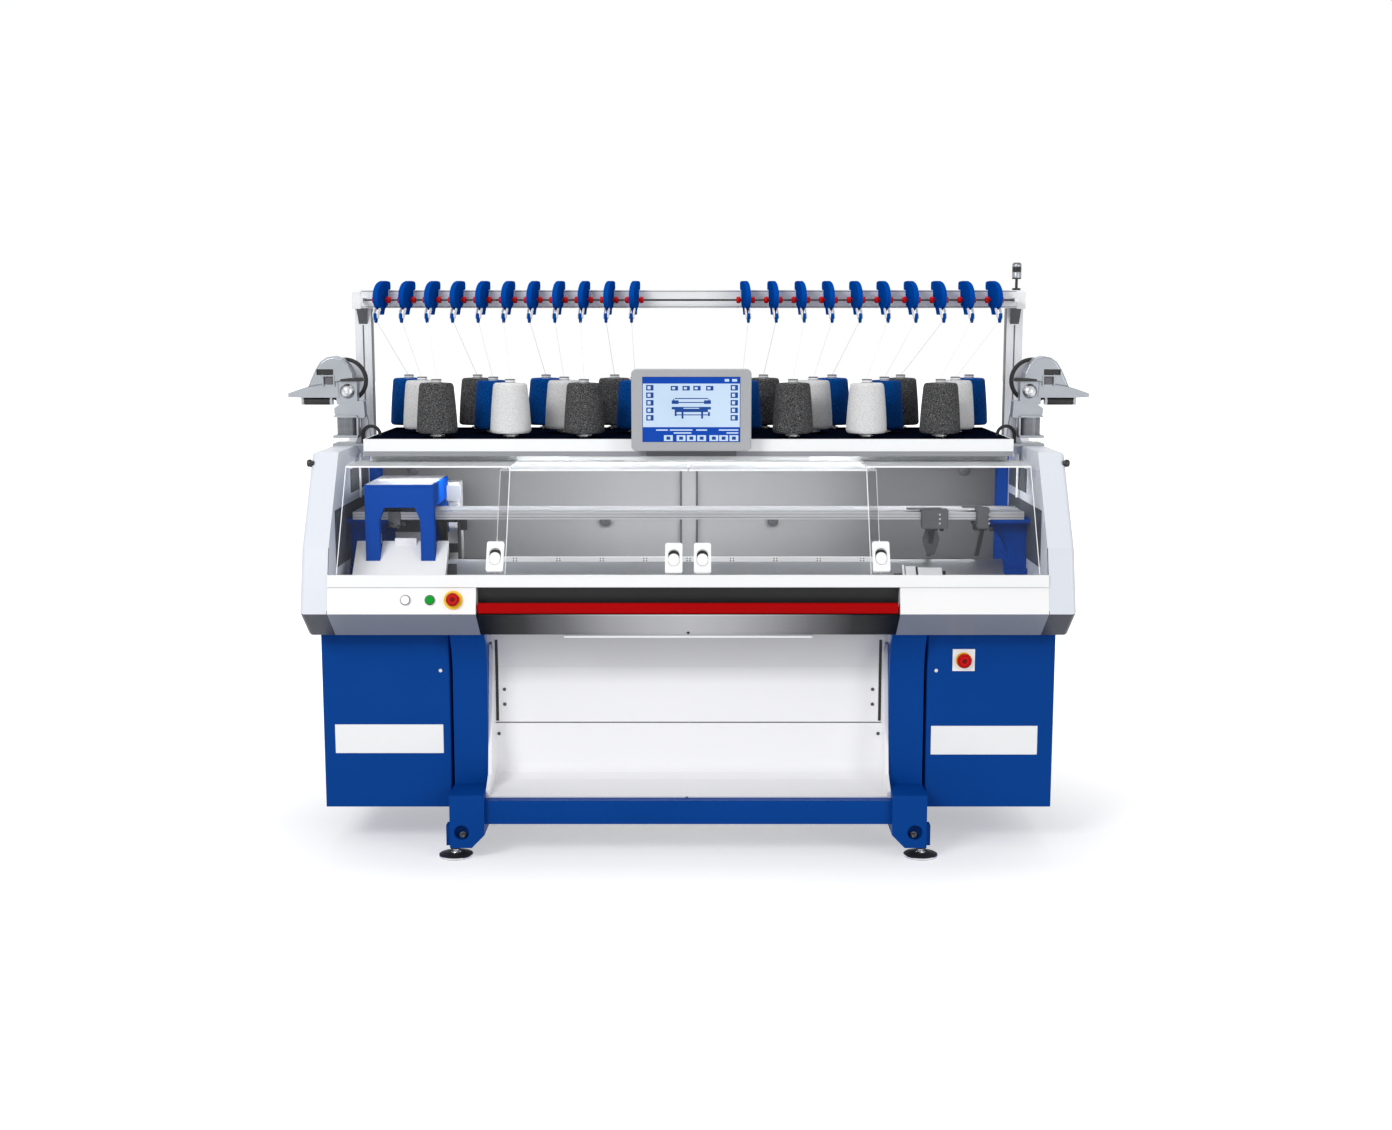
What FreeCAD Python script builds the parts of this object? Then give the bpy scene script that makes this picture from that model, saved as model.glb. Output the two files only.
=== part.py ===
"""Flat knitting machine: two needle beds under sliding clear doors, with a carriage,
a table of yarn cones on top and a rail of yarn tensioners above it.

Millimetres. X runs along the machine, +Y to the back, +Z up. The origin is on the floor
under the middle of the machine, and each piece is one STEP file in parts/.
"""
import FreeCAD
import Part
import math
import os

Vector = FreeCAD.Vector

# ---------------------------------------------------------------- driving dimensions
fit = 0.3                      # running gap between faces that slide past each other
shaft_fit = 0.05               # radial clearance of a shaft in its bore
sheet = 4.0                    # folded sheet metal

bed_half = 1085.0              # half the length of the needle beds
end_room = 77.0                # from a bed's end to the inner face of a side cover
side_cover_width = 88.0
cover_inner = bed_half + end_room
body_half = cover_inner + side_cover_width
cover_back_y = 390.0
cover_foot = (-380.0, 744.0)   # side cover profile, (y, z)
cover_nose = (-500.0, 834.0)
cover_brow = (-440.0, 1040.0)
cover_top_front_y = -240.0
cover_top_z = 1335.0

bed_plane_y = -55.0            # the plane midway between the two needle beds
bed_crest_z = 949.0            # top of a bed at its verge
bed_gap = 8.0                  # between the two beds
bed_reach = 146.0              # horizontal depth of one bed
bed_thick = 40.0
end_frame_thick = 20.0
needle_half = bed_half - 445           # half of the width that carries needles
girder_back = 16.0             # set back of the girder from the verge
end_frame_z = 905.0

stand_inner = needle_half + 33          # inner face of a side stand
stand_width = 115.0
stand_front_y = -312.0
stand_back_y = 330.0
stand_foot_z = 120.0
deck_z = 744.0                 # top of the stands and cabinets

foot_front_y = -455.0
foot_top_z = 220.0
foot_block_z = 41.0
pad_radius = 57.0
pad_height = 14.0
stud_radius = 10.0
stud_x = stand_inner + 102
stud_inset = 50.0              # from the end of the foot block to the stud

beam_depth = 60.0
beam_low_z = 117.0
beam_high_z = 197.0

cabinet_gap = 9.0              # between a side stand and its cabinet
cabinet_outer = body_half - 22
cabinet_front_y = -305.0
cabinet_back_y = 245.0
cabinet_low_z = 137.0
cabinet_cover = 18.0

window_foot = (-455.0, 955.0)  # the door plane passes through here, (y, z)
window_lean = 31.1             # degrees from upright
door_top_z = 1290.0
door_thick = 5.0
door_step = 12.0               # from the outer door track to the inner one
door_end = cover_inner - 25
door_seam = 590.0
door_lap = 35.0
door_back_y = -20.0
door_centre_gap = 3.0

ledge_low_z = 919.0
ledge_floor_z = 936.0
ledge_top_z = 957.0
housing_inner = stand_inner + 10

rail_high_z = 1125.0
rail_height = 25.5
rail_width = 30.0
rail_pitch = 52.0
rail_front_y = -155.0
rail_half = cover_inner - 24

table_half = cover_inner - 57
table_front_y = -105.0
table_back_y = 517.4
table_low_z = 1310.0
table_top_z = 1368.0

upright_x = cover_inner - 20    # inner face of an upright
upright_width = 59.0
upright_y = 295.0
upright_depth = 40.0
crossbar_low_z = 1810.0
crossbar_high_z = 1873.0

cone_height = 171.0
cone_base_radius = 69.0
cone_top_radius = 59.0
cone_base_z = 1385.0
cone_first_x = 190.0
cones_per_side = 11
cone_pitch = (table_half - cone_base_radius - 3 - cone_first_x) / (cones_per_side - 1)
cone_rows_y = (-25.0, 200.0, 425.0)
tube_radius = 17.0

carriage_x = 119.0 - bed_half  # carriage centre at rest
carriage_half = 155.0
bow_half = 116.0
bow_front_y = -235.0
bow_back_y = 100.0
bow_plate = 30.0
bow_top_z = 1225.0
bow_arch_z = 1149.0
cover_rise = 196.0             # upright distance from bed face to carriage cover

pulley_x = bed_half - 47
pulley_y = 215.0
pulley_low_z = 872.0
pulley_width = 26.0
pulley_radius = 96.0
belt_thick = 4.0

roller_y = bed_plane_y
roller_z = 560.0
roller_radius = 30.0
journal_radius = 12.0

rod_y = -478.0
rod_z = 850.0
rod_height = 35.0
rod_depth = 18.0
rod_gap = 6.0                  # from the end of the rod to a control housing


# ---------------------------------------------------------------- small makers
def block(x, y, z):
    """A box between pairs of limits."""
    return Part.makeBox(x[1] - x[0], y[1] - y[0], z[1] - z[0], Vector(x[0], y[0], z[0]))


def prism_x(points, x0, x1):
    """A (y, z) outline run along X."""
    wire = Part.makePolygon([Vector(x0, y, z) for y, z in list(points) + [points[0]]])
    return Part.Face(wire).extrude(Vector(x1 - x0, 0, 0))


def prism_y(points, y0, y1):
    """An (x, z) outline run along Y."""
    wire = Part.makePolygon([Vector(x, y0, z) for x, z in list(points) + [points[0]]])
    return Part.Face(wire).extrude(Vector(0, y1 - y0, 0))


def rod_along(start, end, radius):
    """A round bar between two points."""
    start, end = Vector(*start), Vector(*end)
    return Part.makeCylinder(radius, (end - start).Length, start, end - start)


def turned(points, x, y):
    """A (radius, z) outline turned about the upright axis at x, y."""
    wire = Part.makePolygon([Vector(x + r, y, z) for r, z in list(points) + [points[0]]])
    return Part.Face(wire).revolve(Vector(x, y, 0), Vector(0, 0, 1), 360)


def flat_sided(points, x, y, sides):
    """Like turned, with flat sides: a stack of regular polygons, for small repeated pieces."""
    rings = []
    for r, z in points:
        angles = [2 * math.pi * (k + 0.5) / sides for k in range(sides + 1)]
        rings.append([Vector(x + r * math.cos(a), y + r * math.sin(a), z) for a in angles])
    faces = [Part.Face(Part.makePolygon(ring)) for ring in (rings[0], rings[-1])]
    for low, high in zip(rings, rings[1:]):
        for k in range(sides):
            quad = [low[k], low[k + 1], high[k + 1], high[k], low[k]]
            faces.append(Part.Face(Part.makePolygon(quad)))
    shell = Part.makeShell(faces)
    shell.sewShape()
    solid = Part.Solid(shell)
    if solid.Volume < 0:
        solid.reverse()
    return solid


def flat_stack(start, axis, points, sides):
    """A flat_sided piece that stands on start and runs along axis."""
    stack = flat_sided(points, 0, 0, sides)
    stack.Placement = FreeCAD.Placement(Vector(*start),
                                        FreeCAD.Rotation(Vector(0, 0, 1), Vector(*axis)))
    return stack


def flat_bar(start, end, radius, sides):
    """A straight bar between two points, with flat sides."""
    run = Vector(*end) - Vector(*start)
    return flat_stack(start, run, [(radius, 0), (radius, run.Length)], sides)


def mirror(shape):
    """The same piece on the other side of the middle of the machine."""
    return shape.mirror(Vector(0, 0, 0), Vector(1, 0, 0))


def pair(shape):
    return [shape, mirror(shape)]


def behind(shape):
    """The same piece on the other side of the needle plane."""
    return shape.mirror(Vector(0, bed_plane_y, 0), Vector(0, 1, 0))


def rounded(shape, radius, chosen):
    """Round the edges for which chosen(edge) is true."""
    return shape.makeFillet(radius, [e for e in shape.Edges if chosen(e)])


def edge_along(axis, tolerance=0.01):
    """A test for straight edges along one axis."""
    def test(edge):
        ends = edge.Vertexes
        if len(ends) < 2:
            return False
        step = ends[1].Point - ends[0].Point
        others = [abs(getattr(step, a)) for a in "xyz" if a != axis]
        return max(others) < tolerance
    return test


def stadium(width, height, depth):
    """A slot shape in the X-Z plane, centred on the origin and run along +Y."""
    r = width / 2
    reach = height / 2 - r
    turns = [math.pi * k / 10 for k in range(11)]
    high = [(r * math.cos(a), reach + r * math.sin(a)) for a in turns]
    return prism_y(high + [(-x, -z) for x, z in high], 0, depth)


def save(node, *pieces):
    """Write one node, as one solid or a group of separate solids."""
    solids = [s for p in pieces for s in (p if isinstance(p, list) else [p])]
    for solid in solids:
        assert solid.isValid() and len(solid.Solids) == 1, node
    solids = [s.Solids[0] for s in solids]
    shape = solids[0] if len(solids) == 1 else Part.makeCompound(solids)
    shape.exportStep("parts/%s.step" % node)


os.makedirs("parts", exist_ok=True)

# ---------------------------------------------------------------- base frame
stand_outer = stand_inner + stand_width
foot_back_y = -foot_front_y


def side_stand():
    """Welded box stand whose front edge sweeps forward to meet the bed housing."""
    knee = Vector(stand_inner, stand_front_y + 4, 560)
    sweep = Vector(stand_inner, stand_front_y - 10, 665)
    brow = Vector(stand_inner, cover_foot[0] + 8, deck_z)
    corners = [
        brow,
        Vector(stand_inner, stand_back_y, deck_z),
        Vector(stand_inner, stand_back_y, stand_foot_z),
        Vector(stand_inner, stand_front_y, stand_foot_z),
        knee,
    ]
    edges = [Part.makeLine(a, b) for a, b in zip(corners, corners[1:])]
    edges.append(Part.Arc(knee, sweep, brow).toShape())
    face = Part.Face(Part.Wire(edges))
    stand = face.extrude(Vector(stand_width, 0, 0))
    bearing = rod_along((stand_inner, roller_y, roller_z),
                        (stand_inner + 20, roller_y, roller_z),
                        journal_radius + shaft_fit)
    return stand.cut(bearing)


def foot_block(front):
    """Foot welded to the end of a side stand, chamfered on its inner lower edge."""
    start, end = (foot_front_y, stand_front_y) if front else (stand_back_y, foot_back_y)
    stud_y = foot_front_y + stud_inset if front else foot_back_y - stud_inset
    outline = [
        (stand_inner, foot_top_z),
        (stand_inner, 85),
        (stand_inner + 43, foot_block_z),
        (stand_outer, foot_block_z),
        (stand_outer, foot_top_z),
    ]
    body = prism_y(outline, start, end)
    ear = block((stand_outer, stand_outer + 16), (stud_y - 20, stud_y + 20),
                (foot_block_z, 110))
    body = body.fuse(ear).removeSplitter()
    socket_y = (start, start + 30) if front else (end - 30, end)
    socket_x = stud_x - 26
    socket = flat_bar((socket_x, socket_y[0], 94), (socket_x, socket_y[1], 94), 25, 20)
    stud_hole = rod_along((stud_x, stud_y, foot_block_z), (stud_x, stud_y, 150),
                          stud_radius + fit)
    return body.cut(socket).cut(stud_hole)


def levelling_foot(y):
    """Rubber pad with a threaded stud and its lock nut."""
    pad = flat_sided([(pad_radius, 0), (pad_radius, 6), (26, pad_height)], stud_x, y, 32)
    stud = flat_bar((stud_x, y, pad_height), (stud_x, y, 140), stud_radius, 12)
    nut = flat_sided([(19, foot_block_z - 15), (19, foot_block_z)], stud_x, y, 6)
    return pad, stud.fuse(nut).removeSplitter()


stand = side_stand()
save("side_stand_right", stand)
save("side_stand_left", mirror(stand))

front_beam = block((-stand_inner, stand_inner), (foot_front_y + 20, foot_front_y + 20 + beam_depth),
                   (beam_low_z, beam_high_z))
back_beam = block((-stand_inner, stand_inner), (foot_back_y - 20 - beam_depth, foot_back_y - 20),
                  (beam_low_z, beam_high_z))
save("base_frame", pair(foot_block(True)), pair(foot_block(False)), front_beam, back_beam)

feet = []
for y in (foot_front_y + stud_inset, foot_back_y - stud_inset):
    for piece in levelling_foot(y):
        feet += pair(piece)
save("levelling_feet", feet)

# ---------------------------------------------------------------- cabinets
cabinet_inner = stand_outer + cabinet_gap
lock_x, lock_z = 829.0, 611.0
estop_cabinet_x, estop_cabinet_z = stand_inner + 247, 645.0
estop_stem = 9.0


def cabinet():
    """Steel cabinet hung on the side stand by four bosses, with a screwed front cover."""
    body = block((cabinet_inner, cabinet_outer), (cabinet_front_y + cabinet_cover, cabinet_back_y),
                 (cabinet_low_z, deck_z))
    body = rounded(body, 8, edge_along("z"))
    for y in (-190, 130):
        for z in (260, 640):
            body = body.fuse(rod_along((stand_outer, y, z), (cabinet_inner, y, z), 20))
    seam = 1.5
    cover = block((cabinet_inner + seam, cabinet_outer - seam),
                  (cabinet_front_y, cabinet_front_y + cabinet_cover),
                  (cabinet_low_z + seam, deck_z - seam))
    cover = rounded(cover, 6, lambda e: edge_along("z")(e)
                    and e.Vertexes[0].Point.y < cabinet_front_y + 1)
    return body.removeSplitter(), cover


cabinet_body, cabinet_front = cabinet()
stop_hole = rod_along((estop_cabinet_x, cabinet_front_y, estop_cabinet_z),
                      (estop_cabinet_x, cabinet_front_y + cabinet_cover, estop_cabinet_z),
                      estop_stem + fit)
stop_well = rod_along((estop_cabinet_x, cabinet_front_y + cabinet_cover, estop_cabinet_z),
                      (estop_cabinet_x, cabinet_front_y + cabinet_cover + 30, estop_cabinet_z),
                      estop_stem + fit)
save("cabinet_left", mirror(cabinet_body), mirror(cabinet_front))
save("cabinet_right", cabinet_body.cut(stop_well), cabinet_front.cut(stop_hole))

# ---------------------------------------------------------------- fabric chute
chute_half = stand_inner - 12
chute_y = -195.0
chute_seam_z = 404.0


def fold(points, thickness, x0, x1):
    """A folded sheet: the line through (y, z) points, thickened to its left."""
    left = []
    for n, (y, z) in enumerate(points):
        before = points[max(n - 1, 0)]
        after = points[min(n + 1, len(points) - 1)]
        normals = []
        for a, b in ((before, (y, z)), ((y, z), after)):
            run = math.hypot(b[0] - a[0], b[1] - a[1])
            if run > 0:
                normals.append((-(b[1] - a[1]) / run, (b[0] - a[0]) / run))
        ny = sum(v[0] for v in normals) / len(normals)
        nz = sum(v[1] for v in normals) / len(normals)
        scale = thickness / (ny * ny + nz * nz)
        left.append((y + ny * scale, z + nz * scale))
    return prism_x(list(points) + left[::-1], x0, x1)


take_down_cover = fold([(-290, deck_z - sheet), (chute_y, 597), (chute_y, chute_seam_z + 2)],
                       sheet, -chute_half, chute_half)
tray = fold([(chute_y, chute_seam_z), (chute_y, 262), (-207, 232), (-236, 214), (-375, 206),
             (-400, beam_high_z + sheet)], sheet, -chute_half, chute_half)
tray_end = prism_x([(-400, beam_high_z), (-400, beam_high_z + 24), (-330, 260),
                    (chute_y - 40, deck_z - 60), (chute_y + sheet, deck_z - 60),
                    (chute_y + sheet, beam_high_z)], chute_half, stand_inner)
save("fabric_chute", take_down_cover, tray, pair(tray_end))

take_down = rod_along((-needle_half, roller_y, roller_z), (needle_half, roller_y, roller_z),
                      roller_radius)
journal_end = stand_inner + 15
journal = rod_along((-journal_end, roller_y, roller_z), (journal_end, roller_y, roller_z),
                    journal_radius)
save("take_down_roller", take_down.fuse(journal).removeSplitter())

# ---------------------------------------------------------------- needle beds
bed_top_y = bed_plane_y - bed_gap / 2
bed_foot_y = bed_top_y - bed_reach
drop = bed_thick * math.sqrt(2)
half_drop = bed_thick / math.sqrt(2)


def bed_face_z(y):
    """Height of the front bed's face at y: it falls away from the verge at 45 degrees."""
    return bed_crest_z + (y - bed_top_y)


bed = prism_x([(bed_top_y, bed_crest_z), (bed_foot_y, bed_face_z(bed_foot_y)),
               (bed_foot_y + half_drop, bed_face_z(bed_foot_y) - half_drop),
               (bed_top_y, bed_crest_z - drop)], -bed_half, bed_half)
girder_y = bed_top_y - girder_back
girder = prism_x([(girder_y, deck_z), (girder_y, bed_face_z(girder_y) - drop),
                  (deck_z - bed_face_z(0) + drop, deck_z)], -bed_half, bed_half)
end_frame = prism_x([(-340, deck_z), (-340, 792), (-190, end_frame_z), (80, end_frame_z),
                     (240, 770), (240, deck_z)], bed_half, bed_half + end_frame_thick)
pulley_post = rod_along((pulley_x, pulley_y, deck_z), (pulley_x, pulley_y, pulley_low_z - 4), 30)
pulley_pin = rod_along((pulley_x, pulley_y, pulley_low_z - 4),
                       (pulley_x, pulley_y, pulley_low_z + pulley_width), 10)
save("needle_beds", bed, behind(bed))
save("bed_girders", girder, behind(girder), pair(end_frame),
     pair(pulley_post.fuse(pulley_pin).removeSplitter()))

# ---------------------------------------------------------------- front housings and covers
side_profile = [cover_foot, cover_nose, cover_brow, (cover_top_front_y, cover_top_z),
                (cover_back_y, cover_top_z), (cover_back_y, cover_foot[1])]
side_cover = prism_x(side_profile, cover_inner, body_half)
side_cover = rounded(side_cover, 16, lambda e: all(abs(v.Point.x - body_half) < 0.01
                                                   for v in e.Vertexes))
save("side_cover_right", side_cover)
save("side_cover_left", mirror(side_cover))

housing_profile = [cover_foot, cover_nose, (-477, ledge_low_z), (-400, ledge_low_z),
                   (-350, deck_z)]
face_tilt = math.atan2(-477 - cover_nose[0], ledge_low_z - cover_nose[1])


def on_face(x, z, out):
    """A point at height z on the housings' front face, and out millimetres off it."""
    y = cover_nose[0] + (z - cover_nose[1]) * math.tan(face_tilt)
    return (x, y - out * math.cos(face_tilt), z + out * math.sin(face_tilt))


button_z = 878.0
stop_button_x = -housing_inner - 226
start_button_x = -housing_inner - 147
estop_front_x = -housing_inner - 72
button_radius = 14.0
button_depth = 14.0
housing = prism_x(housing_profile, housing_inner, cover_inner)
pivot_bore = rod_along((housing_inner, rod_y, rod_z), (housing_inner + 12, rod_y, rod_z),
                       6 + shaft_fit)
housing = housing.cut(pivot_bore)
housing_left = mirror(housing)
for x, radius in ((stop_button_x, button_radius), (start_button_x, button_radius),
                  (estop_front_x, estop_stem)):
    housing_left = housing_left.cut(rod_along(on_face(x, button_z, 2),
                                              on_face(x, button_z, -button_depth - 8),
                                              radius + fit))
save("control_housings", housing_left, housing)

ledge = prism_x([(-481, ledge_low_z), (-474, ledge_top_z), (-466, ledge_top_z),
                 (-473, ledge_floor_z), (-400, ledge_floor_z), (-400, ledge_low_z)],
                -cover_inner, cover_inner)
save("front_ledge", ledge)

trough = fold([(-472, ledge_low_z), (-430, ledge_low_z), (-430, 825), (-480, 825)],
              -sheet, -housing_inner, housing_inner)
save("rod_trough", trough)
apron = fold([(-491, 828), (-384, deck_z + 2), (-300, deck_z + 2)], sheet,
             -housing_inner, housing_inner)
save("lower_apron", apron)

# ---------------------------------------------------------------- start rod
rod_half = housing_inner - rod_gap
start_rod = block((-rod_half, rod_half), (rod_y - rod_depth / 2, rod_y + rod_depth / 2),
                  (rod_z - rod_height / 2, rod_z + rod_height / 2))
start_rod = rounded(start_rod, 5, edge_along("x"))
pin_end = housing_inner + 10
start_rod = start_rod.fuse(rod_along((-pin_end, rod_y, rod_z), (pin_end, rod_y, rod_z), 6))
save("start_rod", start_rod.removeSplitter())

# ---------------------------------------------------------------- buttons
bezel_height = 5.0


def bezel(x, outer, inner):
    ring = flat_bar(on_face(x, button_z, 0), on_face(x, button_z, bezel_height), outer, 24)
    return ring.cut(rod_along(on_face(x, button_z, -1), on_face(x, button_z, bezel_height + 1),
                              inner))


stop_plate = block((estop_cabinet_x - 37, estop_cabinet_x + 37),
                   (cabinet_front_y - bezel_height, cabinet_front_y),
                   (estop_cabinet_z - 37, estop_cabinet_z + 37))
stop_plate = stop_plate.cut(rod_along((estop_cabinet_x, cabinet_front_y - 10, estop_cabinet_z),
                                      (estop_cabinet_x, cabinet_front_y + 10, estop_cabinet_z),
                                      estop_stem + fit))
save("button_bezels", bezel(stop_button_x, 18, button_radius + fit),
     bezel(start_button_x, 18, button_radius + fit),
     bezel(estop_front_x, 30, estop_stem + fit), stop_plate)


def push_button(x):
    return flat_bar(on_face(x, button_z, -button_depth), on_face(x, button_z, bezel_height + 5),
                    button_radius, 24)


def mushroom(base, axis, head_radius):
    """Emergency stop: a stem with a domed head, along axis from base."""
    stem = flat_stack(base, axis, [(estop_stem, 0), (estop_stem, 34)], 16)
    head = flat_stack(base + axis * 27, axis,
                      [(head_radius - 4, 0), (head_radius, 7), (head_radius - 5, 13)], 24)
    return stem.fuse(head).removeSplitter()


save("stop_button", push_button(stop_button_x))
save("start_button", push_button(start_button_x))
face_axis = Vector(0, -math.cos(face_tilt), math.sin(face_tilt))
save("estop_front", mushroom(Vector(*on_face(estop_front_x, button_z, -14)), face_axis, 21))
save("estop_cabinet", mushroom(Vector(estop_cabinet_x, cabinet_front_y + 14, estop_cabinet_z),
                               Vector(0, -1, 0), 24))

# ---------------------------------------------------------------- doors and latches
lean = math.radians(window_lean)


def door_face_y(z, out):
    """Where the plane out millimetres outside the door plane crosses height z."""
    return window_foot[0] + (z - window_foot[1]) * math.tan(lean) - out / math.cos(lean)


def on_window(x, up, out):
    """A point up the window slope from its foot, and out from its plane."""
    return Vector(x, window_foot[0] + up * math.sin(lean) - out * math.cos(lean),
                  window_foot[1] + up * math.cos(lean) + out * math.sin(lean))


outer_track = 2.0
inner_track = outer_track - door_step
latch_up = 60.0                # from the window foot to the middle of a latch, up the slope
latch_half_width = 28.0
latch_half_height = 52.5
latch_thick = 12.0
latch_slot = (38.0, 60.0)
thumb_size = (35.0, 42.0)
thumb_travel = 15.0


def door(x0, x1, track, top_z):
    """Clear sheet: a leaning pane whose top is folded back under the cone table."""
    foot = ledge_floor_z + fit
    inside = track - door_thick
    return prism_x([(door_face_y(foot, track), foot),
                    (door_face_y(top_z, track), top_z),
                    (door_back_y, top_z),
                    (door_back_y, top_z - door_thick),
                    (door_face_y(top_z - door_thick, inside), top_z - door_thick),
                    (door_face_y(foot, inside), foot)], x0, x1)


def lay_on_window(shape, x, up, out):
    """Lean a piece made in the X-Z plane, facing -Y, onto the window slope."""
    shape = shape.copy()
    shape.rotate(Vector(0, 0, 0), Vector(1, 0, 0), -window_lean)
    shape.translate(on_window(x, up, out))
    return shape


def latch_plate(x, track):
    plate = block((-latch_half_width, latch_half_width), (-latch_thick, 0),
                  (-latch_half_height, latch_half_height))
    plate = rounded(plate, 8, edge_along("y"))
    slot = stadium(latch_slot[0], latch_slot[1], latch_thick + 2)
    slot.translate(Vector(0, -latch_thick - 1, 0))
    return lay_on_window(plate.cut(slot), x, latch_up, track)


def latch_thumb(x, track):
    thumb = stadium(thumb_size[0], thumb_size[1], latch_thick + 3)
    low = -latch_slot[1] / 2 + thumb_size[1] / 2 + 1
    thumb.translate(Vector(0, -latch_thick - 3 - fit, low))
    return lay_on_window(thumb, x, latch_up, track)


outer_latch_x = door_seam + latch_half_width + 7
inner_latch_x = door_centre_gap + latch_half_width + 15.5
for side, flip in (("right", False), ("left", True)):
    for place, track, top_z, limits, latch_x in (
            ("outer", outer_track, door_top_z, (door_seam, door_end), outer_latch_x),
            ("inner", inner_track, door_top_z - door_step,
             (door_centre_gap, door_seam + door_lap), inner_latch_x)):
        pieces = {
            "door": door(limits[0], limits[1], track, top_z),
            "latch_plate": latch_plate(latch_x, track),
            "latch_thumb": latch_thumb(latch_x, track),
        }
        for kind, piece in pieces.items():
            save("%s_%s_%s" % (kind, side, place), mirror(piece) if flip else piece)

# ---------------------------------------------------------------- back panels and cone table
back_panel_y = 330.0
back_panel = block((28, cover_inner), (back_panel_y, back_panel_y + 12), (deck_z, table_low_z))
back_pillar = block((-28, 28), (back_panel_y - 12, back_panel_y + 12), (deck_z, table_low_z))
save("back_panels", pair(back_panel), back_pillar)

table_shell = block((-table_half, table_half), (table_front_y, table_back_y),
                    (table_low_z, table_top_z))
table_shell = table_shell.cut(block((-table_half + sheet, table_half - sheet),
                                    (table_front_y + sheet, table_back_y - sheet),
                                    (table_low_z, table_top_z - sheet)))
shelf = sheet
outer_shelf_z = door_top_z - door_thick - 0.5
inner_shelf_z = outer_shelf_z - door_step
track_back_y = door_back_y + 8
door_track = prism_x([(door_back_y + 0.5, table_top_z - sheet), (track_back_y, table_top_z - sheet),
                      (track_back_y, inner_shelf_z - shelf), (door_back_y - 20, inner_shelf_z - shelf),
                      (door_back_y - 20, inner_shelf_z), (door_back_y + 0.5, inner_shelf_z),
                      (door_back_y + 0.5, outer_shelf_z - shelf),
                      (door_back_y - 20, outer_shelf_z - shelf),
                      (door_back_y - 20, outer_shelf_z), (door_back_y + 0.5, outer_shelf_z)],
                     -table_half + sheet, table_half - sheet)
save("cone_table", table_shell, door_track)

# ---------------------------------------------------------------- yarn cones
def cone_places():
    """Cones stand in a zigzag of three rows, alike on both sides."""
    for n in range(cones_per_side):
        x = cone_first_x + n * cone_pitch
        y = cone_rows_y[(1, 2, 0)[n % 3]]
        yield x, y


cones, tubes, pegs = [], [], []
peg_plate_z = cone_base_z - 8
for cone_x, cone_y in cone_places():
    top = cone_base_z + cone_height
    cone = flat_sided([(cone_base_radius, cone_base_z), (cone_top_radius, top - 8),
                       (cone_top_radius - 9, top)], cone_x, cone_y, 16)
    bore = flat_sided([(tube_radius + 0.2, cone_base_z - 1), (tube_radius + 0.2, top + 1)],
                      cone_x, cone_y, 8)
    tube = flat_sided([(tube_radius, peg_plate_z), (tube_radius, top + 11)], cone_x, cone_y, 8)
    hollow = flat_sided([(tube_radius - 2, peg_plate_z), (tube_radius - 2, top + 11)],
                        cone_x, cone_y, 8)
    peg = flat_sided([(12, table_top_z), (12, peg_plate_z - 4)], cone_x, cone_y, 8)
    plate = flat_sided([(26, peg_plate_z - 4), (26, peg_plate_z)], cone_x, cone_y, 8)
    spindle = flat_sided([(tube_radius - 2.3, peg_plate_z), (8, cone_base_z + 90)],
                         cone_x, cone_y, 8)
    cones += pair(cone.cut(bore))
    tubes += pair(tube.cut(hollow))
    pegs += pair(peg.fuse([plate, spindle]).removeSplitter())
save("yarn_cones", cones)
save("cone_tubes", tubes, pegs)

# ---------------------------------------------------------------- uprights and tension rail
upright_outer = upright_x + upright_width
flange = 8.0
upright = block((upright_x, upright_outer), (upright_y, upright_y + upright_depth),
                (cover_top_z, crossbar_high_z))
groove = block((upright_x + upright_width / 2 - 3, upright_x + upright_width / 2 + 3),
               (upright_y, upright_y + 5), (cover_top_z + flange, crossbar_low_z - 60))
base_plate = block((cover_inner + 2, body_half - 18), (upright_y - 20, upright_y + upright_depth + 20),
                   (cover_top_z, cover_top_z + flange))
upright = upright.cut(groove).fuse(base_plate).removeSplitter()
save("uprights", pair(upright))

crossbar_y = upright_y - 40
crossbar = block((-upright_x - 28, upright_x + 28), (crossbar_y, upright_y),
                 (crossbar_low_z, crossbar_high_z))
corner = block((upright_x + 28, upright_outer), (crossbar_y - 3, upright_y),
               (crossbar_low_z - 3, crossbar_high_z - 6))
gusset = prism_x([(upright_y, crossbar_low_z), (upright_y, crossbar_low_z - 55),
                  (crossbar_y + 4, crossbar_low_z)], upright_x + 14, upright_x + 44)

# ---------------------------------------------------------------- yarn tensioners
tension_z = 1838.0
tension_y = 200.0
tension_thick = 20.0


def spread_out(first, last, count):
    return [first + k * (last - first) / (count - 1) for k in range(count)]


left_tensions = spread_out(56 - upright_x, -192, 11)
right_tensions = spread_out(201, upright_x - 62, 10)
tension_turn = 18.0            # degrees that the tensioners turn to the nearer end
tension_rod_radius = 3.0
knob_radius = 9.0
clamp_y = crossbar_y - tension_y
hook_rise = crossbar_high_z + fit - tension_z
frame_outline = [(clamp_y, hook_rise), (clamp_y, -16), (12, -31), (-2, -52), (-12, -50),
                 (-18, -34), (-52, -30), (-80, -6), (-78, 22), (-42, 52), (16, 65),
                 (clamp_y + 34, 62), (clamp_y + 34, hook_rise)]
arm_outline = [(-52, -30.3), (-36, -32.2), (-58, -52), (-66, -67), (-84, -65), (-84, -44)]
eye_reach = (-76, -68)


def from_rod(shape, x):
    """Set a piece made about the tensioners' rod at x, turned to the nearer end."""
    shape.rotate(Vector(0, 0, 0), Vector(0, 0, 1), math.copysign(tension_turn, x))
    shape.translate(Vector(x, tension_y, tension_z))
    return shape


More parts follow.
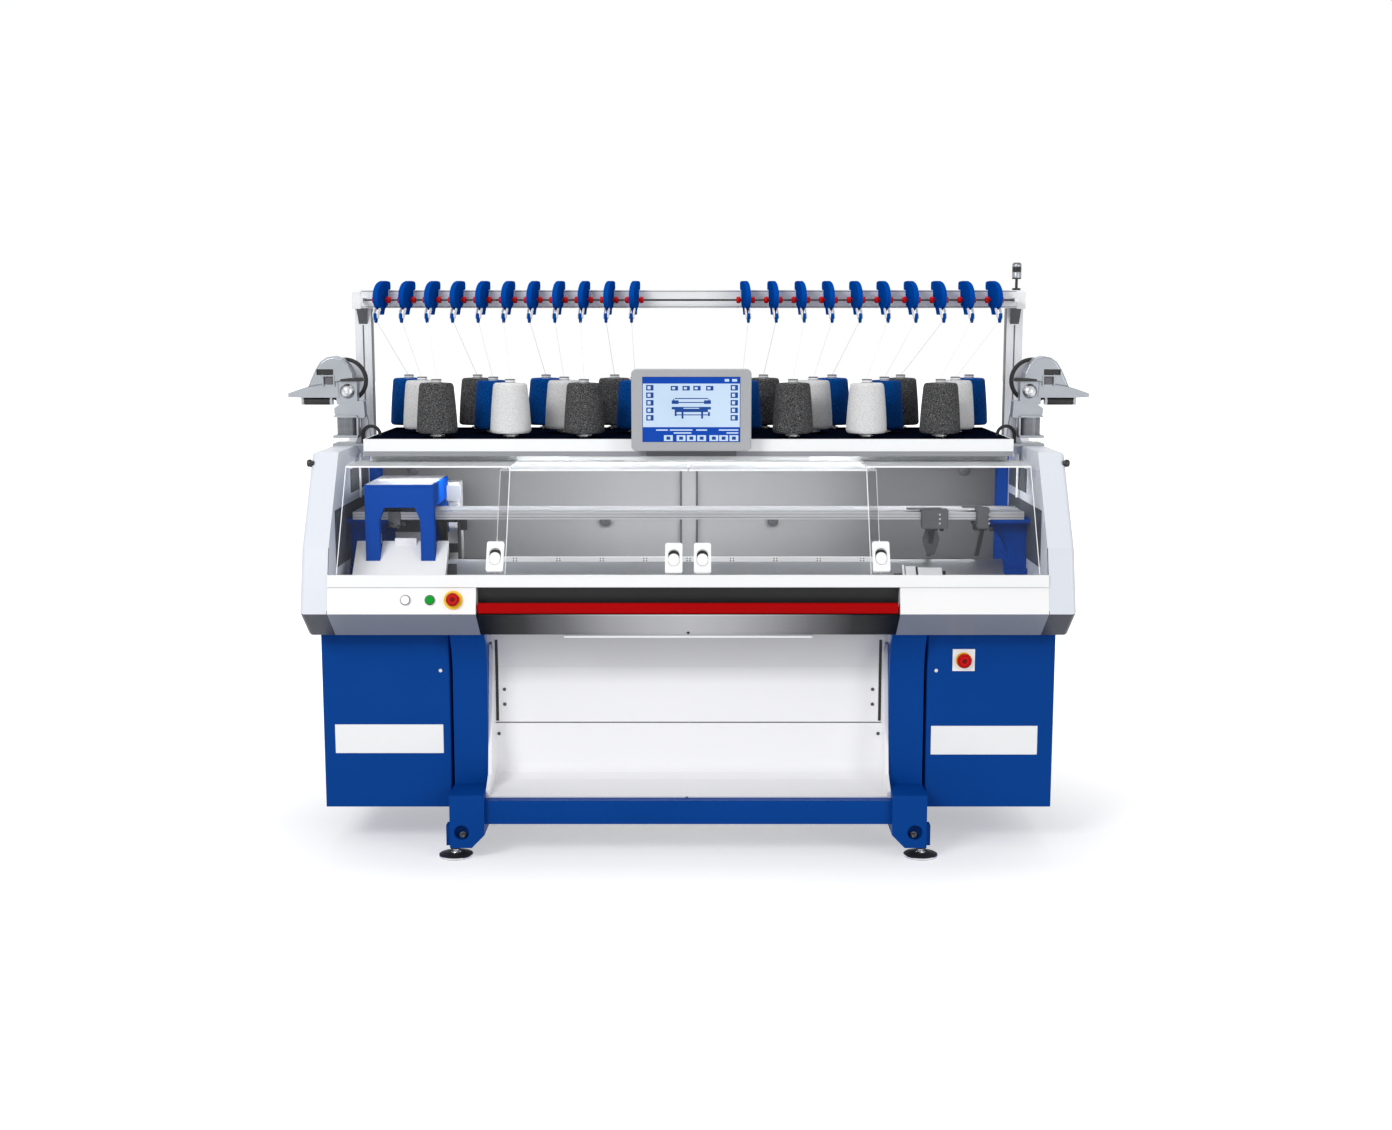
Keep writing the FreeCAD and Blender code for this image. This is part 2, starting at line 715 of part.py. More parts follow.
def tension_frame(x):
    """Moulded crescent clamped to the front of the rail, with a guide arm at its tip."""
    body = from_rod(prism_x(frame_outline, -tension_thick / 2, tension_thick / 2), x)
    body = body.cut(block((x - 60, x + 60), (crossbar_y, upright_y),
                          (crossbar_low_z, crossbar_high_z + fit)))
    return body.cut(flat_bar((x - 30, tension_y, tension_z), (x + 30, tension_y, tension_z),
                             tension_rod_radius + 0.5, 6))


def tension_arm(x):
    """Bright arm below the crescent that carries the yarn eye."""
    return from_rod(prism_x(arm_outline, -6, 6), x)


def yarn_eye(x):
    way = math.copysign(math.radians(tension_turn), x)
    return (x - eye_reach[0] * math.sin(way), tension_y + eye_reach[0] * math.cos(way),
            tension_z + eye_reach[1])


frames, arms, knobs = [], [], []
for x in left_tensions + right_tensions:
    frames.append(tension_frame(x))
    arms.append(tension_arm(x))
    for way in (-1, 1):
        near = x + way * (tension_thick / 2 + 2.5)
        far = near + way * 18
        knob = flat_sided([(5, 0), (knob_radius, 5), (knob_radius, 13), (5, 18)], 0, 0, 8)
        knob.Placement = FreeCAD.Placement(Vector(near, tension_y, tension_z),
                                           FreeCAD.Rotation(Vector(0, 0, 1), Vector(way, 0, 0)))
        knobs.append(knob.cut(flat_bar((near - way, tension_y, tension_z),
                                       (far + way, tension_y, tension_z),
                                       tension_rod_radius + 0.5, 6)))
save("tensioner_frames", frames)
save("tensioner_arms", arms)
save("tensioner_knobs", knobs)
rod_end = upright_x + 22
tension_rod = flat_bar((-rod_end, tension_y, tension_z), (rod_end, tension_y, tension_z),
                       tension_rod_radius, 8)
rod_clip = block((rod_end - 12, rod_end), (tension_y - 6, crossbar_y),
                 (tension_z - 8, tension_z + 8))
rod_clip = rod_clip.cut(flat_bar((rod_end - 13, tension_y, tension_z),
                                 (rod_end + 1, tension_y, tension_z), tension_rod_radius + 0.3, 8))
save("tension_rail", crossbar, pair(corner), pair(gusset), pair(rod_clip), tension_rod)

yarn_radius = 0.6
cone_spots = list(cone_places())
yarns = []
for side, eyes in ((1, right_tensions), (-1, left_tensions[::-1])):
    for (cone_x, cone_y), eye_x in zip(cone_spots, eyes):
        rim_y = cone_y + (1 if cone_y < 115 else -1) * (tube_radius - 1)
        yarns.append(flat_bar((side * cone_x, rim_y, cone_base_z + cone_height + 12),
                              yarn_eye(eye_x), yarn_radius, 4))
save("yarn_ends", yarns)

# ---------------------------------------------------------------- signal lamp
lamp_x, lamp_y = upright_x + 36, upright_y + 20
lamp_foot = flat_sided([(15, crossbar_high_z), (15, crossbar_high_z + 8)], lamp_x, lamp_y, 16)
lamp_post = flat_sided([(5, crossbar_high_z), (5, crossbar_high_z + 41)], lamp_x, lamp_y, 8)
lamp_head = flat_sided([(16, crossbar_high_z + 40), (16, crossbar_high_z + 94),
                        (11, crossbar_high_z + 98)], lamp_x, lamp_y, 16)
save("signal_lamp", lamp_foot.fuse([lamp_post, lamp_head]).removeSplitter())

# ---------------------------------------------------------------- screen
screen_x, screen_width, screen_height, screen_depth = 10.0, 402.0, 274.0, 44.0
screen_low_z, screen_front_y = 1333.0, -182.0
screen_back_y = screen_front_y + screen_depth
hinge_y, hinge_z, hinge_pin = -122.0, 1366.0, 4.0

screen = block((screen_x - screen_width / 2, screen_x + screen_width / 2),
               (screen_front_y, screen_back_y), (screen_low_z, screen_low_z + screen_height))
screen = rounded(screen, 17, edge_along("y"))
screen = rounded(screen, 5, lambda e: all(abs(v.Point.y - screen_front_y) < 0.01
                                          for v in e.Vertexes))
display = block((screen_x - 164, screen_x + 164), (screen_front_y - 1, screen_front_y + 2),
                (screen_low_z + 31, screen_low_z + screen_height - 25))
screen = screen.cut(display)
for way in (-1, 1):
    lug_x = screen_x + way * 36
    lug = block((lug_x - 5, lug_x + 5), (screen_back_y, hinge_y), (hinge_z - 10, hinge_z + 10))
    lug = lug.fuse(rod_along((lug_x - 5, hinge_y, hinge_z), (lug_x + 5, hinge_y, hinge_z), 10))
    screen = screen.fuse(lug)
screen = screen.fuse(rod_along((screen_x - 40, hinge_y, hinge_z),
                               (screen_x + 40, hinge_y, hinge_z), hinge_pin))
save("screen_housing", screen.removeSplitter())

knuckle = rod_along((screen_x - 30, hinge_y, hinge_z), (screen_x + 30, hinge_y, hinge_z), 10)
web = block((screen_x - 30, screen_x + 30), (hinge_y, table_front_y), (hinge_z - 8, hinge_z + 8))
root = block((screen_x - 45, screen_x + 45), (table_front_y, table_front_y + 40),
             (table_top_z, hinge_z + 8))
arm = knuckle.fuse([web, root])
arm = arm.cut(rod_along((screen_x - 30, hinge_y, hinge_z), (screen_x + 30, hinge_y, hinge_z),
                        hinge_pin + shaft_fit))
save("screen_bracket", arm.removeSplitter())

# ---------------------------------------------------------------- yarn rails
rail_low_z = rail_high_z - rail_height
rails = [block((-rail_half, rail_half), (rail_front_y + k * rail_pitch,
                                         rail_front_y + k * rail_pitch + rail_width),
               (rail_low_z, rail_high_z)) for k in range(4)]
rail_span = (rail_front_y, rail_front_y + 3 * rail_pitch + rail_width)
bracket_out = cover_inner - 2
plate_low_z = rail_low_z - 13
top_plate = block((rail_half - 118, bracket_out), (rail_span[0] + 3, rail_span[1] - 3),
                  (plate_low_z, rail_low_z))
web = prism_y([(rail_half - 110, plate_low_z), (bracket_out, plate_low_z),
               (bracket_out, end_frame_z), (bed_half, end_frame_z), (bed_half, end_frame_z + 26),
               (bed_half + 13, end_frame_z + 42), (bed_half + 14, end_frame_z + 74),
               (bed_half + 2, end_frame_z + 106), (rail_half - 72, end_frame_z + 134),
               (rail_half - 92, end_frame_z + 154)], -95, -15)
base = block((bed_half, bracket_out), (-120, 10), (end_frame_z, end_frame_z + 20))
post = block((cover_inner - 40, cover_inner), (back_panel_y - 44, back_panel_y),
             (deck_z, table_low_z))
bracket = top_plate.fuse([web, base]).removeSplitter()
save("feed_rails", rails)
save("rail_brackets", pair(bracket), pair(post))

# ---------------------------------------------------------------- carriage
def over_bed(y, rise):
    """A (y, z) point rise millimetres above the front bed's face."""
    return (y, bed_face_z(y) + rise)


def carriage_span(half):
    return (carriage_x - half, carriage_x + half)


cover_thick = 40.0
leg_width = 47.0
front_leg_z = 960.0
back_leg_z = 992.0
belt_in = pulley_radius + fit
belt_front_y = pulley_y - belt_in - belt_thick

cover = prism_x([over_bed(-175, cover_rise), over_bed(-360, cover_rise),
                 over_bed(-360, cover_rise - 30), over_bed(-200, cover_rise - cover_thick),
                 over_bed(-175, cover_rise - cover_thick)], *carriage_span(carriage_half))
tab = prism_x([over_bed(-182, cover_rise), over_bed(-190, cover_rise), (-190, 1040), (-182, 1040)],
              carriage_x - 25, carriage_x + 48)
cover = cover.fuse(tab)
back_cover = behind(prism_x([over_bed(-175, cover_rise), over_bed(-258, cover_rise),
                             over_bed(-258, cover_rise - cover_thick),
                             over_bed(-175, cover_rise - cover_thick)],
                            *carriage_span(carriage_half)))
for low in (-bow_half, bow_half - leg_width):
    leg_span = (carriage_x + low - 1, carriage_x + low + leg_width + 1)
    cover = cover.cut(block(leg_span, (bow_front_y, -150), (front_leg_z, 1100)))
    back_cover = back_cover.cut(block(leg_span, (40, bow_back_y), (back_leg_z, 1100)))
drive_low_z, drive_high_z, drive_back_y = 920.0, 1200.0, 190.0
drive_box = block((carriage_x + 40, carriage_x + carriage_half), (bow_back_y + 4, drive_back_y),
                  (drive_low_z, drive_high_z))
clamp = block((carriage_x - 35, carriage_x + 35), (belt_front_y - 9, belt_front_y + 10),
              (pulley_low_z - 4, drive_low_z + 15))
belt_slot = block((carriage_x - 36, carriage_x + 36),
                  (belt_front_y - fit, belt_front_y + belt_thick + fit),
                  (pulley_low_z - fit, pulley_low_z + pulley_width + fit))
back_cover = back_cover.fuse([drive_box, clamp.cut(belt_slot)])
save("carriage_covers", cover.removeSplitter(), back_cover.removeSplitter())

cam = prism_x([over_bed(-202, 1), over_bed(-75, 1), over_bed(-75, 26), over_bed(-98, 62),
               over_bed(-175, 62), over_bed(-175, cover_rise - cover_thick),
               over_bed(-202, cover_rise - cover_thick)], *carriage_span(110))
save("carriage_cam_plates", cam, behind(cam))

inner = bow_half - leg_width
bow = prism_y([(-bow_half, front_leg_z), (-bow_half, bow_top_z), (bow_half, bow_top_z),
               (bow_half, front_leg_z), (inner, front_leg_z), (inner, bow_arch_z - 44),
               (inner - 17, bow_arch_z), (17 - inner, bow_arch_z), (-inner, bow_arch_z - 44),
               (-inner, front_leg_z)], bow_front_y, bow_back_y)
bow = bow.cut(block((-bow_half, bow_half), (bow_front_y + bow_plate, bow_back_y - bow_plate),
                    (front_leg_z, bow_arch_z)))
bow = bow.cut(block((-bow_half, bow_half), (bow_back_y - bow_plate, bow_back_y),
                    (front_leg_z, back_leg_z)))
bow = rounded(bow, 4, lambda e: edge_along("z")(e) and abs(e.Vertexes[0].Point.x) == bow_half
              and e.Length > 200)
bow.translate(Vector(carriage_x, 0, 0))
save("carriage_bow", bow)

# ---------------------------------------------------------------- belt and pulleys
def loop(radius):
    """The outline of a belt round both pulleys, filled."""
    straight = block((-pulley_x, pulley_x), (pulley_y - radius, pulley_y + radius),
                     (pulley_low_z, pulley_low_z + pulley_width))
    ends = [rod_along((x, pulley_y, pulley_low_z), (x, pulley_y, pulley_low_z + pulley_width),
                      radius) for x in (-pulley_x, pulley_x)]
    return straight.fuse(ends).removeSplitter()


cable_y = 60.0
cable_x = table_half + 3
cable_radius = 6.0
foot_plate_top = cover_top_z + 8
cable_bend = 30.0
bend_z = table_top_z + 4
cable_ends = [((cable_x - cable_bend, cable_y, table_top_z), (cable_x - cable_bend, cable_y, bend_z)),
              ((cable_x + cable_bend, cable_y, foot_plate_top),
               (cable_x + cable_bend, cable_y, bend_z))]
section = [Vector(cable_x - cable_bend + cable_radius * math.cos(math.pi * (k + 0.5) / 4),
                  cable_y + cable_radius * math.sin(math.pi * (k + 0.5) / 4), bend_z)
           for k in range(9)]
cable = Part.Face(Part.makePolygon(section)).revolve(Vector(cable_x, cable_y, bend_z),
                                                     Vector(0, 1, 0), 180)
cable = cable.fuse([flat_bar(low, high, cable_radius, 8) for low, high in cable_ends])
save("belt_and_leads", loop(belt_in + belt_thick).cut(loop(belt_in)),
     pair(cable.removeSplitter()))
pulley_top = pulley_low_z + pulley_width
recess = 8.0


def pulley_disc(radius, low_z, high_z):
    return flat_sided([(radius, low_z), (radius, high_z)], pulley_x, pulley_y, 48)


pulley = pulley_disc(pulley_radius, pulley_low_z, pulley_top)
pulley = pulley.cut(pulley_disc(pulley_radius - 26, pulley_top - recess, pulley_top + 1))
pulley = pulley.fuse(pulley_disc(26, pulley_top - recess - 1, pulley_top)).removeSplitter()
pulley = pulley.cut(rod_along((pulley_x, pulley_y, pulley_low_z),
                              (pulley_x, pulley_y, pulley_top), 10 + shaft_fit))
save("pulley_right", pulley)
save("pulley_left", mirror(pulley))

# ---------------------------------------------------------------- yarn carriers
def carrier(x0, x1, eye_x):
    """Shoe that slides on the front rail, with an arm down to the needles."""
    face_y = rail_front_y - fit
    front = block((x0, x1), (face_y - 14, face_y), (1074, rail_high_z + 7))
    top_lip = block((x0, x1), (face_y - 14, rail_front_y + 28),
                    (rail_high_z + fit, rail_high_z + 7))
    low_lip = block((x0, x1), (face_y - 14, rail_front_y + 14),
                    (rail_low_z - 8, rail_low_z - fit))
    arm = prism_x([(face_y - 14, 1074), (face_y, 1074), (bed_plane_y + 3, 968),
                   (bed_plane_y + 3, 961), (bed_plane_y - 5, 961)], eye_x - 7, eye_x + 7)
    return front.fuse([top_lip, low_lip, arm]).removeSplitter()


carrier_park = rail_half - 120  # right end of the second carrier at rest
save("yarn_carrier_1", carrier(carrier_park - 230, carrier_park - 139, carrier_park - 188))
save("yarn_carrier_2", carrier(carrier_park - 43, carrier_park, carrier_park - 21))

# ---------------------------------------------------------------- side yarn feeders
feeder_y = 100.0
wheel_x = body_half - 50
wheel_z = cover_top_z + 225
wheel_radius = 79.0
axle_radius = 8.0
feeder_front = feeder_y - 72
feeder_back = feeder_y - 22


def from_wheel(points):
    """Points given from the wheel's centre, in the machine's frame."""
    return [(wheel_x + x, wheel_z + z) for x, z in points]


def feeder_plate(points, y0, y1):
    return prism_y(from_wheel(points), y0, y1)


def feeder_box(x, y, z):
    return block((wheel_x + x[0], wheel_x + x[1]), y, (wheel_z + z[0], wheel_z + z[1]))


def feeder_body():
    """Feeder on a bracket bolted to the side cover: domed cover, arm, roller and motor drum."""
    cover = feeder_plate([(119, -22), (90, 39), (73, 65), (51, 80), (25, 85), (-4, 77), (-24, 56),
                          (-37, 27), (-39, 6), (12, -4)], feeder_front, feeder_back)
    cover = rounded(cover, 8, lambda e: all(abs(v.Point.y - feeder_front) < 0.01
                                            for v in e.Vertexes))
    for x, z in (((28, 86), (20, 40)), ((29, 62), (-14, 15))):
        cover = cover.cut(feeder_box(x, (feeder_front - 1, feeder_front + 10), z))
    arm = feeder_plate([(16, -4), (119, -20), (142, -27), (188, -43), (188, -56), (145, -58),
                        (12, -58)], feeder_front + 6, feeder_back - 6)
    lugs = [feeder_box((x, x + 8), (feeder_front + 13, feeder_back - 13), (-83, -56))
            for x in (37, 137)]
    lug_y = feeder_front + 25
    roller = flat_bar((wheel_x + 45, lug_y, wheel_z - 71), (wheel_x + 137, lug_y, wheel_z - 71),
                      12, 12)
    housing = flat_stack((wheel_x - 17, feeder_front - 5, wheel_z - 36), (0, 1, 0),
                         [(9, 0), (19, 8), (26, 20), (26, 34)], 12)
    head = feeder_box((-50, 22), (feeder_front + 10, feeder_back), (-82, 0))
    clamp = feeder_plate([(-72, -66), (12, -82), (30, -94), (30, -114), (16, -128), (-76, -128)],
                         feeder_front + 6, feeder_y - 17)
    clamp = rounded(clamp, 6, edge_along("y"))
    drum = flat_bar((wheel_x - 10, feeder_y - 38, wheel_z - 188),
                    (wheel_x - 10, feeder_y - 38, wheel_z - 126), 36, 24)
    foot_z = foot_plate_top - wheel_z
    neck = feeder_plate([(-76, -120), (-54, -120), (-54, -160), (-34, foot_z), (-88, foot_z),
                         (-82, -160)], feeder_y - 30, feeder_y - 14)
    axle = rod_along((wheel_x, feeder_y - 26, wheel_z), (wheel_x, feeder_y + 4, wheel_z),
                     axle_radius)
    foot = block((wheel_x - 88, wheel_x + 38), (feeder_y - 70, feeder_y + 40),
                 (cover_top_z, foot_plate_top))
    body = cover.fuse([arm, housing, head, clamp, drum, neck, axle, foot] + lugs)
    return body.fuse(roller).removeSplitter()


feeder = feeder_body()
save("feeder_bodies", pair(feeder))
wheel_ends = [(wheel_x, y, wheel_z) for y in (feeder_y - 16, feeder_y + 2)]
wheel = flat_stack(wheel_ends[0], (0, 1, 0),
                   [(wheel_radius - 4, 0), (wheel_radius, 4), (wheel_radius, 14),
                    (wheel_radius - 4, 18)], 40)
wheel = wheel.cut(rod_along(*wheel_ends, axle_radius + shaft_fit))
save("feeder_wheel_right", wheel)
save("feeder_wheel_left", mirror(wheel))

print("built")
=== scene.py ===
"""Looks of the flat knitting machine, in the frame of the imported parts: +X along the machine,
+Y to the back, +Z up, the floor at zero. Lamps, camera and stage are in metres, and solids in
millimetres."""
import math
import random

import bmesh
import bpy
from mathutils import Matrix, Vector


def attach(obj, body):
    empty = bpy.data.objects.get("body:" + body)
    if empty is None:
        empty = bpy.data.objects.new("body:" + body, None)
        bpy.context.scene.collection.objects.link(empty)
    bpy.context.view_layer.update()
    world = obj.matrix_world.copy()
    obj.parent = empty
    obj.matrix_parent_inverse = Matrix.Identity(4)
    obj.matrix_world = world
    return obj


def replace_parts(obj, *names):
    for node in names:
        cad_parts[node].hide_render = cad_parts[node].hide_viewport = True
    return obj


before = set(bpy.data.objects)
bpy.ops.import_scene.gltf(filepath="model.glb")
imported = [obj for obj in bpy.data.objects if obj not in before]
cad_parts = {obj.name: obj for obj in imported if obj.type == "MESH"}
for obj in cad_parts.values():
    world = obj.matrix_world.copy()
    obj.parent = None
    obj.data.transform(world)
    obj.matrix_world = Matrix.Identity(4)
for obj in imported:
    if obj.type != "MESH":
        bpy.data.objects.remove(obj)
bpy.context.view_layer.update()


# ---------------------------------------------------------------- stands, frame and cabinets
# Two bent side stands carry the machine, tied by cross beams, with a cabinet hung outside each.
# They are folded and welded sheet steel under blue powder paint, which leaves a fine orange
# peel and a faintly cloudy tone.
def srgb(r, g, b):
    """An 0 to 255 screen colour as linear RGBA."""
    def linear(c):
        c /= 255
        return c / 12.92 if c <= 0.04045 else ((c + 0.055) / 1.055) ** 2.4
    return (linear(r), linear(g), linear(b), 1.0)


def shade(colour, factor):
    return tuple(min(1.0, c * factor) for c in colour[:3]) + (1.0,)


class Nodes:
    """Short ways to add nodes to the tree of a material, a group or the world."""

    def __init__(self, tree):
        self.tree = tree

    def feed(self, socket, source):
        """Link the output that feeds a socket, or set the socket to a plain value."""
        if isinstance(source, bpy.types.NodeSocket):
            self.tree.links.new(source, socket)
        else:
            socket.default_value = source

    def add(self, kind, sockets=()):
        node = self.tree.nodes.new(kind)
        for name, source in dict(sockets).items():
            self.feed(node.inputs[name], source)
        return node

    def group(self, tree, sockets):
        """Place a node group with its own values, and give back its outputs."""
        node = self.add("ShaderNodeGroup")
        node.node_tree = tree
        for name, source in sockets.items():
            self.feed(node.inputs[name], source)
        return node.outputs

    def noise(self, scale, detail, stretch=(1, 1, 1)):
        """Noise that stays fixed to the object, stretched along its axes."""
        return self.add("ShaderNodeTexNoise", {"Vector": self.place(stretch), "Scale": scale,
                                               "Detail": detail}).outputs["Fac"]

    def place(self, scale=(1, 1, 1)):
        where = self.add("ShaderNodeTexCoord").outputs["Object"]
        return self.add("ShaderNodeMapping", {"Vector": where, "Scale": scale}).outputs["Vector"]

    def span(self, value, low=0.0, high=1.0, to_low=0.0, to_high=1.0):
        """A value between low and high, moved to lie between to_low and to_high."""
        return self.add("ShaderNodeMapRange", {
            "Value": value, "From Min": low, "From Max": high, "To Min": to_low,
            "To Max": to_high}).outputs["Result"]

    def mix(self, factor, first, second, blend="MIX"):
        """Two colours mixed; 6 and 7 are the node's colour sockets, and 2 its colour output."""
        node = self.add("ShaderNodeMix")
        node.data_type = "RGBA"
        node.blend_type = blend
        for socket, source in ((0, factor), (6, first), (7, second)):
            self.feed(node.inputs[socket], source)
        return node.outputs[2]


def new_group(name, inputs, outputs):
    """A node group with named sockets: its nodes, what comes in, and what goes out."""
    tree = bpy.data.node_groups.new(name, "ShaderNodeTree")
    for way, sockets in (("INPUT", inputs), ("OUTPUT", outputs)):
        for socket, kind in sockets.items():
            tree.interface.new_socket(name=socket, in_out=way, socket_type="NodeSocket" + kind)
    nodes = Nodes(tree)
    return nodes, nodes.add("NodeGroupInput").outputs, nodes.add("NodeGroupOutput").inputs


# Cloudy change between two tones, for paints, mouldings and the lit display
nodes, given, gives = new_group(
    "clouds", {"Dark": "Color", "Light": "Color", "Scale": "Float", "Detail": "Float",
               "Start": "Float", "End": "Float"}, {"Tone": "Color"})
cloud = nodes.span(nodes.noise(given["Scale"], given["Detail"]), given["Start"], given["End"])
nodes.feed(gives["Tone"], nodes.mix(cloud, given["Dark"], given["Light"]))
clouds = nodes.tree

# Uneven gloss and a fine raised grain, for paints and mouldings
nodes, given, gives = new_group(
    "gloss_and_grain", {"Rough Low": "Float", "Rough High": "Float", "Gloss Scale": "Float",
                        "Gloss Detail": "Float", "Grain Scale": "Float"},
    {"Roughness": "Float", "Grain": "Float"})
nodes.feed(gives["Roughness"], nodes.span(
    nodes.noise(given["Gloss Scale"], given["Gloss Detail"]), 0, 1, given["Rough Low"],
    given["Rough High"]))
nodes.feed(gives["Grain"], nodes.noise(given["Grain Scale"], 2))
gloss_and_grain = nodes.tree


class Surface(Nodes):
    """A material around its Principled shader."""

    def __init__(self, name, colour, roughness, metallic=0.0):
        self.material = bpy.data.materials.new(name)
        self.material.use_nodes = True
        self.material.diffuse_color = colour
        super().__init__(self.material.node_tree)
        self.shader = self.tree.nodes["Principled BSDF"]
        self.put("Base Color", colour).put("Roughness", roughness).put("Metallic", metallic)

    def put(self, socket, source):
        self.feed(self.shader.inputs[socket], source)
        return self

    def raised(self, height, strength, depth):
        """A bump of some strength, and of a depth in metres."""
        node = self.add("ShaderNodeBump", {"Height": height, "Strength": strength,
                                           "Distance": depth})
        return self.put("Normal", node.outputs["Normal"])

    def clouded(self, colour, variation, scale, detail):
        return self.put("Base Color", self.group(clouds, {
            "Dark": shade(colour, 1 - variation), "Light": shade(colour, 1 + variation),
            "Scale": scale, "Detail": detail, "Start": 0.3, "End": 0.7})["Tone"])

    def grained(self, rough, gloss_noise, grain_scale, strength, depth):
        skin = self.group(gloss_and_grain, {
            "Rough Low": rough[0], "Rough High": rough[1], "Gloss Scale": gloss_noise[0],
            "Gloss Detail": gloss_noise[1], "Grain Scale": grain_scale})
        return self.put("Roughness", skin["Roughness"]).raised(skin["Grain"], strength, depth)


# Scale and detail of the paint's cloudy tone and of its gloss; scale and depth of its peel
PAINT_CLOUD, PAINT_GLOSS = (2.2, 4), (14, 5)
PEEL_SCALE, PEEL_DEPTH = 420, 0.0004


def painted(name, colour, roughness, peel, variation=0.06, gloss=0.3):
    """Powder paint: orange peel, and a cloudy tone unless its variation is nought."""
    paint = Surface(name, colour, roughness).put("Specular IOR Level", gloss)
    if variation:
        paint.clouded(colour, variation, *PAINT_CLOUD)
    return paint.grained((roughness - 0.06, roughness + 0.08), PAINT_GLOSS, PEEL_SCALE, peel,
                         PEEL_DEPTH)


def dress(surface, *names):
    """Give nodes of the CAD their material."""
    for name in names:
        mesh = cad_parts[name].data
        mesh.materials.clear()
        mesh.materials.append(surface.material)


blue_paint = painted("blue_paint", srgb(6, 66, 146), 0.36, 0.3, gloss=0.05)
dress(blue_paint, "side_stand_left", "side_stand_right", "base_frame", "cabinet_left",
      "cabinet_right")


# ---------------------------------------------------------------- name plates
# A bare plate on each cabinet's front cover. It is moulded from white plastic with rounded
# edges and is stuck on, so that it stands a little proud of the paint.
MM = 0.001
PLATE_Y = (-307, -304.5)
LEFT_PLATE, RIGHT_PLATE = ((-1188, -824), (325, 424)), ((816, 1174), (320, 419))
MOULD_CLOUD, MOULD_GLOSS = (9, 3), (60, 4)
GRAIN_SCALE, GRAIN_DEPTH = 900, 0.0003
SHARP_ANGLE = math.radians(35)


def moulded(name, colour, roughness, grain, variation=0.05, metallic=0.0, gloss=0.5):
    """Moulded plastic, rubber or rough casting with a fine grain."""
    skin = Surface(name, colour, roughness, metallic).put("Specular IOR Level", gloss)
    skin.clouded(colour, variation, *MOULD_CLOUD)
    return skin.grained((roughness - 0.05, roughness + 0.1), MOULD_GLOSS, GRAIN_SCALE, grain,
                        GRAIN_DEPTH)


class Piece:
    """A piece that rides on a body, made of solids given in millimetres. With both set, its
    mirror image on the machine's other side belongs to it too."""

    def __init__(self, name, surface, body="machine", bevel=0.8, both=False):
        self.name, self.surface, self.body = name, surface, body
        self.bevel, self.both, self.bm = bevel * MM, both, bmesh.new()

    def prism(self, outline, axis, low, high):
        """An outline of flat points run along x or y, from low to high."""
        def corner(a, b, along):
            place = (along, a, b) if axis == "x" else (a, along, b)
            return self.bm.verts.new([c * MM for c in place])
        near, far = [[corner(a, b, along) for a, b in outline] for along in (low, high)]
        self.bm.faces.new(near)
        self.bm.faces.new(far[::-1])
        for k in range(len(outline)):
            n = (k + 1) % len(outline)
            self.bm.faces.new((near[k], far[k], far[n], near[n]))
        return self

    def box(self, x, y, z):
        return self.prism([(y[0], z[0]), (y[1], z[0]), (y[1], z[1]), (y[0], z[1])], "x", *x)

    def turned(self, profile, centre, axis=(0, 0, 1), segments=32):
        """A profile of (radius, along) points turned about an axis through centre."""
        lean = Vector((0, 0, 1)).rotation_difference(Vector(axis).normalized()).to_matrix()
        rings = []
        for radius, along in profile:
            angles = [2 * math.pi * k / segments for k in range(segments if radius else 1)]
            points = [Vector((radius * math.cos(a), radius * math.sin(a), along)) for a in angles]
            rings.append([self.bm.verts.new((Vector(centre) + lean @ p) * MM) for p in points])
        for low, high in zip(rings, rings[1:]):
            for k in range(segments):
                n = (k + 1) % segments
                if len(low) == 1:
                    self.bm.faces.new((low[0], high[n], high[k]))
                elif len(high) == 1:
                    self.bm.faces.new((low[k], low[n], high[0]))
                else:
                    self.bm.faces.new((low[k], low[n], high[n], high[k]))
        return self

    def done(self, slot=None):
        """Make the mesh, round its edges, and fix it to its body."""
        if self.both:
            twin = bmesh.ops.duplicate(self.bm, geom=self.bm.faces[:])["geom"]
            points = [g for g in twin if isinstance(g, bmesh.types.BMVert)]
            bmesh.ops.scale(self.bm, vec=(-1, 1, 1), verts=points)
        bmesh.ops.recalc_face_normals(self.bm, faces=self.bm.faces)
        mesh = bpy.data.meshes.new(self.name)
        self.bm.to_mesh(mesh)
        self.bm.free()
        piece = bpy.data.objects.new(self.name, mesh)
        bpy.context.scene.collection.objects.link(piece)
        mesh.materials.append(self.surface.material)
        if self.bevel:
            edge = piece.modifiers.new("edge", "BEVEL")
            edge.width = self.bevel
            edge.segments = 2
            edge.limit_method = "ANGLE"
        mesh.polygons.foreach_set("use_smooth", [True] * len(mesh.polygons))
        mesh.set_sharp_from_angle(angle=SHARP_ANGLE)
        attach(piece, self.body)
        return piece


white_plastic = moulded("white_plastic", srgb(250, 251, 252), 0.3, 0.12, 0.01)
plates = Piece("name_plates", white_plastic, bevel=2)
for x, z in (LEFT_PLATE, RIGHT_PLATE):
    plates.box(x, PLATE_Y, z)
plates.done()


# ---------------------------------------------------------------- cabinet screws
# One steel screw holds a corner of each cabinet's cover. Its head is turned, with a recess for
# the driver, and finished with fine lines, as the machine's other bare metal is.
CABINET_SCREW = (829, -305, 609)
CABINET_SCREW_RADIUS = 7
LINE_SCALE, LINE_DETAIL, LINE_DEPTH = 28, 6, 0.0005

